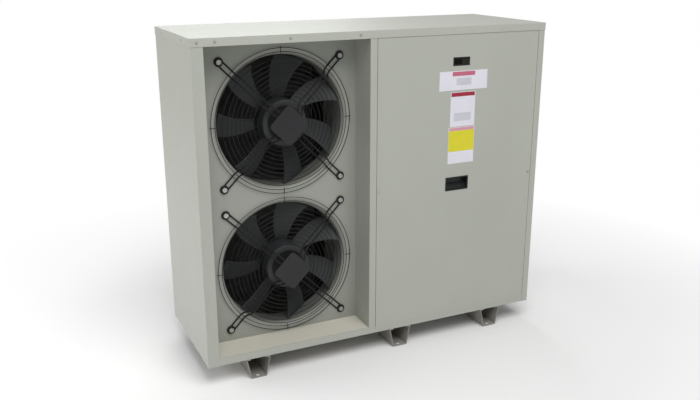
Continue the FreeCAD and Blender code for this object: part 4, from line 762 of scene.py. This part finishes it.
def eyelet(body, centre, sides=12):
    """A flattened ring about an axis parallel to the fan's."""
    outline = []
    for step in range(sides):
        angle = 2 * math.pi * step / sides
        outline.append((
            EYELET_RADIUS + EYELET_HALF * math.cos(angle),
            GUARD_BACK - ARM_WIRE * (1 - math.sin(angle)),
        ))
    turned_surface(body, outline, centre, EYELET_STEPS)


print("an arm has", len(arm_route(1)), "points")


# %% The guards
def wire_guard(name, z):
    centre = Vector((FAN_X, 0, z))
    body = bmesh.new()
    for radius in (*RIM_RINGS, *RAISED_RINGS):
        middle = GUARD_BACK - lift(radius) - 2 * ARM_WIRE - RING_WIRE + RING_WELD
        wire_ring(body, centre + Vector((0, middle, 0)), radius, RING_WIRE)
    for angle in ARM_TURNS:
        turn = Matrix.Rotation(angle, 4, "Y")
        for side in (-1, 1):
            lay_wire(body, [centre + turn @ point for point in arm_route(side)], ARM_WIRE)
        eyelet(body, centre + turn @ Vector((0, 0, EYELET_REACH)))
    for angle in SPOKE_TURNS:
        turn = Matrix.Rotation(angle, 4, "Y")
        spoke = [Vector((0, GUARD_BACK - 2 * ARM_WIRE + RING_WIRE, radius)) for radius in SPOKE_ENDS]
        lay_wire(body, [centre + turn @ point for point in spoke], RING_WIRE)
    finish_normals(body)
    smooth(body, WIRE_SHARP)
    return new_piece(f"{name}_wire_guard", body, wire_coat, "cabinet", [f"{name}_guard"])


for name, z in FAN_Z.items():
    guard = wire_guard(name, z)
    print(guard.name, len(guard.data.polygons), "faces")

# %% [markdown]
# A hexagon screw holds each eyelet. Its head is a six-sided prism from the Cone operator with equal radii, and the
# Bevel rounds its corners.

# %% Guard screws
SCREW_RADIUS = 0.0107
SCREW_ROUNDING = 0.0012
SCREW_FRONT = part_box("guard_screws")[0].y
SCREW_HEIGHT = guard_high.y - 2 * ARM_WIRE - SCREW_FRONT


def guard_screws():
    body = bmesh.new()
    middle_y = SCREW_FRONT + SCREW_HEIGHT / 2
    size = {"segments": 6, "radius1": SCREW_RADIUS, "radius2": SCREW_RADIUS, "depth": SCREW_HEIGHT}
    for z in FAN_Z.values():
        for angle in ARM_TURNS:
            out = Matrix.Rotation(angle, 4, "Y") @ Vector((0, 0, EYELET_REACH))
            place = Matrix.Translation(Vector((FAN_X, middle_y, z)) + out)
            bmesh.ops.create_cone(body, cap_ends=True, matrix=place @ FACING_FRONT, **size)
    finish_normals(body)
    smooth(body)
    piece = new_piece("guard_screw_heads", body, zinc_plate, "cabinet", ["guard_screws"])
    return round_edges(piece, SCREW_ROUNDING)


print(guard_screws().name, "made")

# %% [markdown]
# ## Impellers
# A moulded axial blade is a thin curved plate with a sickle outline: narrow slots between the blades near the hub,
# wider ones at the tips, and rounded edges. A grid gives the right topology. Each of its vertices is moved to its
# radius and angle, and then back along the axis by the height of one arc drawn across the stream. The sheet is then
# given its thickness, its rim is rounded, and a loop turns six copies of it round the hub.

# %% Blade and hub sizes
HUB_RADIUS = 0.090
HUB_LENGTH = 0.092
HUB_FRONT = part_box("upper_impeller")[0].y
HUB_ROUNDING = 0.004
HUB_CORNER = 0.0012
HUB_CHAMFER = 0.001
HUB_STEPS = 96
ROTOR_RADIUS = 0.0701
TIP_RADIUS = 0.250
BLADES = 7
BLADE_FRONT = DECK_FRONT + 0.010
BLADE_DEPTH = 0.074
BLADE_CAMBER = 0.006
BLADE_THICK = 0.0035
BLADE_ROUNDING = 0.0014
BLADE_ROOT = 0.004
ROOT_HALF = math.radians(13.4)
TIP_HALF = math.radians(11.8)
SWEEP = math.radians(8.5)
FIRST_BLADE = math.radians(4)
RIM_ANGLE = math.radians(60)
BLADE_SHARP = math.radians(50)
print(BLADES, "blades from", HUB_RADIUS, "to", TIP_RADIUS, "m")


# %% One blade
def blade_point(share, side):
    """The place on a blade at a share of its span and between its back (-1) and front (1) edge."""
    radius = HUB_RADIUS - BLADE_ROOT + (TIP_RADIUS - HUB_RADIUS + BLADE_ROOT) * share
    half = ROOT_HALF + (TIP_HALF - ROOT_HALF) * share
    angle = SWEEP * share**2 + side * half
    return Vector((radius * math.sin(angle), 0, radius * math.cos(angle)))


def blade_sheet(body, columns=14, rows=12):
    """The curved sheet of the blade at twelve o'clock, its front facing the viewer."""
    made = bmesh.ops.create_grid(body, x_segments=columns, y_segments=rows, size=1.0)["verts"]
    for vert in made:
        vert.co = blade_point((vert.co.y + 1) / 2, vert.co.x)
    left = min(vert.co.x for vert in made)
    right = max(vert.co.x for vert in made)
    for vert in made:
        share = (vert.co.x - left) / (right - left)
        vert.co.y = BLADE_FRONT + BLADE_DEPTH * (1 - share) + BLADE_CAMBER * 4 * share * (1 - share)
    bmesh.ops.recalc_face_normals(body, faces=body.faces)
    if body.faces[:][0].normal.y > 0:
        bmesh.ops.reverse_faces(body, faces=body.faces)


def first_blade(body):
    """The sheet with its thickness and a rounded rim, turned to the first blade's angle."""
    blade_sheet(body)
    bmesh.ops.solidify(body, geom=body.faces[:], thickness=BLADE_THICK)
    rim = [edge for edge in body.edges if edge.calc_face_angle(0.0) > RIM_ANGLE]
    rounding = {"offset": BLADE_ROUNDING, "segments": 3, "profile": 0.5, "clamp_overlap": True}
    bmesh.ops.bevel(body, geom=rim, affect="EDGES", material=-1, **rounding)
    turn = Matrix.Rotation(FIRST_BLADE, 3, "Y")
    bmesh.ops.rotate(body, verts=body.verts, cent=(0, 0, 0), matrix=turn)


print("blade helpers are ready")


# %% The wheels
def hub_outline():
    """The (radius, y) points of the hub ring, with a rounded front edge."""
    hub_back = HUB_FRONT + HUB_LENGTH
    return [
        (ROTOR_RADIUS, HUB_FRONT),
        (HUB_RADIUS - HUB_ROUNDING, HUB_FRONT),
        (HUB_RADIUS - HUB_CORNER, HUB_FRONT + HUB_CORNER),
        (HUB_RADIUS, HUB_FRONT + HUB_ROUNDING),
        (HUB_RADIUS, hub_back - HUB_CHAMFER),
        (HUB_RADIUS - HUB_CHAMFER, hub_back),
        (ROTOR_RADIUS, hub_back),
    ]


def wheel(name, z):
    body = bmesh.new()
    first_blade(body)
    single = body.verts[:] + body.edges[:] + body.faces[:]
    for number in range(1, BLADES):
        verts = only(bmesh.types.BMVert, bmesh.ops.duplicate(body, geom=single))
        turn = Matrix.Rotation(2 * math.pi / BLADES * number, 3, "Y")
        bmesh.ops.rotate(body, verts=verts, cent=(0, 0, 0), matrix=turn)
    bmesh.ops.translate(body, verts=body.verts, vec=(FAN_X, 0, z))
    turned_surface(body, hub_outline(), Vector((FAN_X, 0, z)), HUB_STEPS)
    smooth(body, BLADE_SHARP)
    ridden = f"{name}_impeller"
    return new_piece(f"{name}_wheel", body, blade_plastic, ridden, [ridden])


for name, z in FAN_Z.items():
    made = wheel(name, z)
    print(made.name, len(made.data.polygons), "faces")

# %% [markdown]
# ## Fin pack
# The condenser is hundreds of thin upright fins threaded on copper tubes. One fin is a thin box of six faces, and a
# loop sets copies of it side by side. Behind the fins a dark core stands in for the tubes, so that nobody sees
# through the pack; its near black is painted shade, the dark deep inside the pack. A shape that is repeated this
# often has to stay this simple.

# %% Fins and core
FIN_PITCH = 0.0026
FIN_THICK = 0.0004
CORE_INSET = Vector((0.0005, 0.009, 0.004))
coil_low, coil_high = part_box("condenser_coil")


def box_between(body, low, high):
    """A box between its lowest and its highest corner."""
    place = Matrix.Translation((low + high) / 2) @ Matrix.Diagonal((*(high - low), 1))
    bmesh.ops.create_cube(body, size=1.0, matrix=place)


def fin_pack():
    body = bmesh.new()
    count = int((coil_high.x - coil_low.x) / FIN_PITCH)
    box_between(body, coil_low, Vector((coil_low.x + FIN_THICK, coil_high.y, coil_high.z)))
    fin = body.faces[:]
    for number in range(1, count):
        verts = only(bmesh.types.BMVert, bmesh.ops.duplicate(body, geom=fin))
        bmesh.ops.translate(body, verts=verts, vec=(FIN_PITCH * number, 0, 0))
    return new_piece("fin_pack", body, fin_aluminium, "cabinet", ["condenser_coil"])


# The core's near black is painted shade: the dark deep inside the fin pack.
def coil_core():
    body = bmesh.new()
    box_between(body, coil_low + CORE_INSET, coil_high - CORE_INSET)
    return new_piece("coil_core", body, black_plastic, "cabinet", ["condenser_coil"])


print(fin_pack().name, "and", coil_core().name, "over", round(coil_high.x - coil_low.x, 3), "m")

# %% [markdown]
# ## Rear grille
# The grille over the coil is welded wire too: straight rods, the level ones laid on the upright ones and sunk a
# little into them. They are spread evenly over the box of the solid that they replace. GRILLE_WIRE is a radius.

# %% Grille
GRILLE_PITCH = 0.090
GRILLE_WIRE = 0.0025
GRILLE_WELD = 1.9 * GRILLE_WIRE
UPRIGHTS = 5
grille_low, grille_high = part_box("coil_guard")


def rear_grille():
    body = bmesh.new()
    levels = int((grille_high.z - grille_low.z) / GRILLE_PITCH)
    height = grille_high.z - grille_low.z - 2 * GRILLE_WIRE
    left = grille_low.x + GRILLE_WIRE
    right = grille_high.x - GRILLE_WIRE
    back = grille_high.y - GRILLE_WIRE
    for number in range(levels + 1):
        z = grille_low.z + GRILLE_WIRE + height * number / levels
        lay_wire(body, [Vector((x, back, z)) for x in (grille_low.x, grille_high.x)], GRILLE_WIRE)
    for number in range(UPRIGHTS):
        x = left + (right - left) * number / (UPRIGHTS - 1)
        ends = [Vector((x, back - GRILLE_WELD, z)) for z in (grille_low.z, grille_high.z)]
        lay_wire(body, ends, GRILLE_WIRE)
    finish_normals(body)
    smooth(body, WIRE_SHARP)
    return new_piece("rear_grille", body, wire_coat, "cabinet", ["coil_guard"])


print(rear_grille().name, "made")

# %% [markdown]
# ## Plates on the access panel
# Three thin foil plates sit one below the other in the upper half of the access panel, a few tenths of a millimetre
# proud of the paint. They carry plain fields of colour. Each field is its own thin box on the plate, so that the
# colour has a crisp edge without any picture.


# %% Foil colours
def foil(name, color):
    finish = Finish(name, 0.32, Specular_IOR_Level=0.5)
    finish.set("Base Color", finish.blend(finish.noise(25.0, 3.0), shade(color, 0.93), shade(color, 1.05)))
    finish.bump(finish.noise(400.0, 1.0), 0.00002, 0.3)
    return finish.material


foil_white = foil("foil_white", (0.72, 0.71, 0.78))
foil_red = foil("foil_red", (0.33, 0.016, 0.04))
foil_rose = foil("foil_rose", (0.53, 0.13, 0.2))
foil_pink = foil("foil_pink", (0.62, 0.30, 0.36))
foil_yellow = foil("foil_yellow", (0.68, 0.62, 0.02))
foil_grey = foil("foil_grey", (0.56, 0.56, 0.62))
print("foils:", foil_white.name, foil_red.name, foil_rose.name, foil_pink.name, foil_yellow.name, foil_grey.name)

# %% [markdown]
# The plates are placed by the cabinet's left edge and its underside, as they were measured. A row gives the foil,
# the layer, which is 0 for a plate and 1 for a field on it, and the left, bottom, right and top edges in metres.

# %% Plates
BODY_LEFT = -0.750
BODY_BOTTOM = 0.085
FOIL_THICK = 0.0003
FOIL_ROUNDING = 0.0001
PANEL_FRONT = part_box("access_panel")[0].y
PLATES = {
    "upper_plate": (foil_white, 0, (0.996, 0.998, 1.222, 1.075)),
    "upper_plate_band": (foil_rose, 1, (1.056, 1.055, 1.162, 1.072)),
    "upper_plate_field": (foil_grey, 1, (1.076, 1.018, 1.146, 1.046)),
    "middle_plate": (foil_white, 0, (1.051, 0.849, 1.168, 0.990)),
    "middle_plate_band": (foil_red, 1, (1.054, 0.972, 1.165, 0.988)),
    "middle_plate_field": (foil_grey, 1, (1.068, 0.872, 1.150, 0.905)),
    "lower_plate": (foil_white, 0, (1.046, 0.694, 1.170, 0.846)),
    "lower_plate_band": (foil_pink, 1, (1.049, 0.832, 1.167, 0.844)),
    "lower_plate_field": (foil_yellow, 1, (1.047, 0.745, 1.169, 0.831)),
}
for name, (material, layer, (left, bottom, right, top)) in PLATES.items():
    body = bmesh.new()
    back = PANEL_FRONT - FOIL_THICK * layer
    low = Vector((BODY_LEFT + left, back - FOIL_THICK, BODY_BOTTOM + bottom))
    high = Vector((BODY_LEFT + right, back, BODY_BOTTOM + top))
    box_between(body, low, high)
    piece = new_piece(name, body, material, "access_panel")
    round_edges(piece, FOIL_ROUNDING, 1)
print("plates:", len(PLATES))

# %% [markdown]
# ## Display
# Behind the window the controller shows a dark glass display, left blank. Glass in front of a black case needs no
# transparency: a very smooth, nearly black surface reads as the same thing, and a low specular level keeps it dark.

# %% Display glass
DISPLAY_MARGIN = 0.005
DISPLAY_RIGHT = 0.041
DISPLAY_PROUD = 0.0004
DISPLAY_ROUNDING = 0.0002
glass = Finish("display_glass", 0.08, Specular_IOR_Level=0.14)
glass.set("Base Color", glass.blend(glass.noise(60.0), (0.004, 0.004, 0.0035), (0.006, 0.006, 0.005)))
case_low, case_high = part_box("controller")
body = bmesh.new()
box_between(
    body,
    Vector((case_low.x + DISPLAY_MARGIN, case_low.y - DISPLAY_PROUD, case_low.z + DISPLAY_MARGIN)),
    Vector((case_low.x + DISPLAY_RIGHT, case_low.y, case_high.z - DISPLAY_MARGIN)),
)
display = new_piece("display", body, glass.material, "cabinet")
round_edges(display, DISPLAY_ROUNDING)
print(display.name, "made")

# %% [markdown]
# ## Floor and light
# The floor is a wide pale plane that takes the machine's soft shadow and fades to plain white a few metres out. The
# world is white for rays that come straight from the camera and a soft grey for all others, so the background can
# be white while the paint keeps its own colour.

# %% Floor
FLOOR_HALF = 60.0
floor_body = bmesh.new()
bmesh.ops.create_grid(floor_body, x_segments=1, y_segments=1, size=FLOOR_HALF)
floor_mesh = bpy.data.meshes.new("floor")
floor_body.to_mesh(floor_mesh)
floor_body.free()
floor = bpy.data.objects.new("floor", floor_mesh)
bpy.context.scene.collection.objects.link(floor)
print("floor", floor.dimensions.x, "m wide")

# %% Floor finish
FADE_START = 1.1
FADE_RISE = 0.9


def fading_floor():
    finish = Finish("floor_finish", 0.9, Specular_IOR_Level=0.1)
    finish.set("Base Color", (0.86, 0.86, 0.86, 1.0))
    away = finish.node("ShaderNodeVectorMath", {"operation": "LENGTH"}, {0: finish.place})
    fade = (Value(finish, away.outputs["Value"]) * FADE_RISE - FADE_START).clamped()
    seen = Value(finish, finish.node("ShaderNodeLightPath", {}, {}).outputs["Is Camera Ray"])
    glow = finish.node("ShaderNodeEmission", {}, {"Strength": 1.0})
    ends = {0: fade * seen, 1: finish.surface.outputs[0], 2: glow.outputs[0]}
    mixed = finish.node("ShaderNodeMixShader", {}, ends)
    finish.feed(finish.tree.nodes["Material Output"].inputs["Surface"], mixed.outputs[0])
    return finish.material


floor_mesh.materials.append(fading_floor())
print("floor finish:", floor_mesh.materials[0].name)

# %% World
SKY_FILL = 0.4
world = bpy.data.worlds.new("studio")
world.use_nodes = True
bpy.context.scene.world = world
sky = world.node_tree
background = sky.nodes["Background"]
path = sky.nodes.new("ShaderNodeLightPath")
level = sky.nodes.new("ShaderNodeMapRange")
level.inputs["To Min"].default_value = SKY_FILL
level.inputs["To Max"].default_value = 1.0
sky.links.new(path.outputs["Is Camera Ray"], level.inputs["Value"])
sky.links.new(level.outputs["Result"], background.inputs["Strength"])
background.inputs["Color"].default_value = (1.0, 1.0, 1.0, 1.0)
print("world:", world.name)

# %% [markdown]
# Three square lamps light the machine: a large one above the front, a smaller one on the left, which gives that
# side its lighter tone, and a weak one behind. A row gives the place, the target, the side in metres and the power.

# %% Lamps
MIDDLE = (0.0, 0.0, 0.7)
LAMPS = {
    "key_light": ((-0.3, -3.0, 5.2), MIDDLE, 3.6, 212),
    "left_light": ((-4.2, 1.2, 2.0), (-0.75, 0.0, 0.7), 2.2, 73),
    "rear_light": ((0.6, 3.8, 3.4), MIDDLE, 2.6, 60),
}
for name, (place, target, size, power) in LAMPS.items():
    data = bpy.data.lights.new(name, "AREA")
    data.shape = "SQUARE"
    data.size = size
    data.energy = power
    lamp = bpy.data.objects.new(name, data)
    bpy.context.scene.collection.objects.link(lamp)
    lamp.matrix_world = looking(Vector(place), (Vector(target) - Vector(place)).normalized())
bpy.context.scene.view_settings.view_transform = "Standard"
print("lamps:", len(LAMPS))
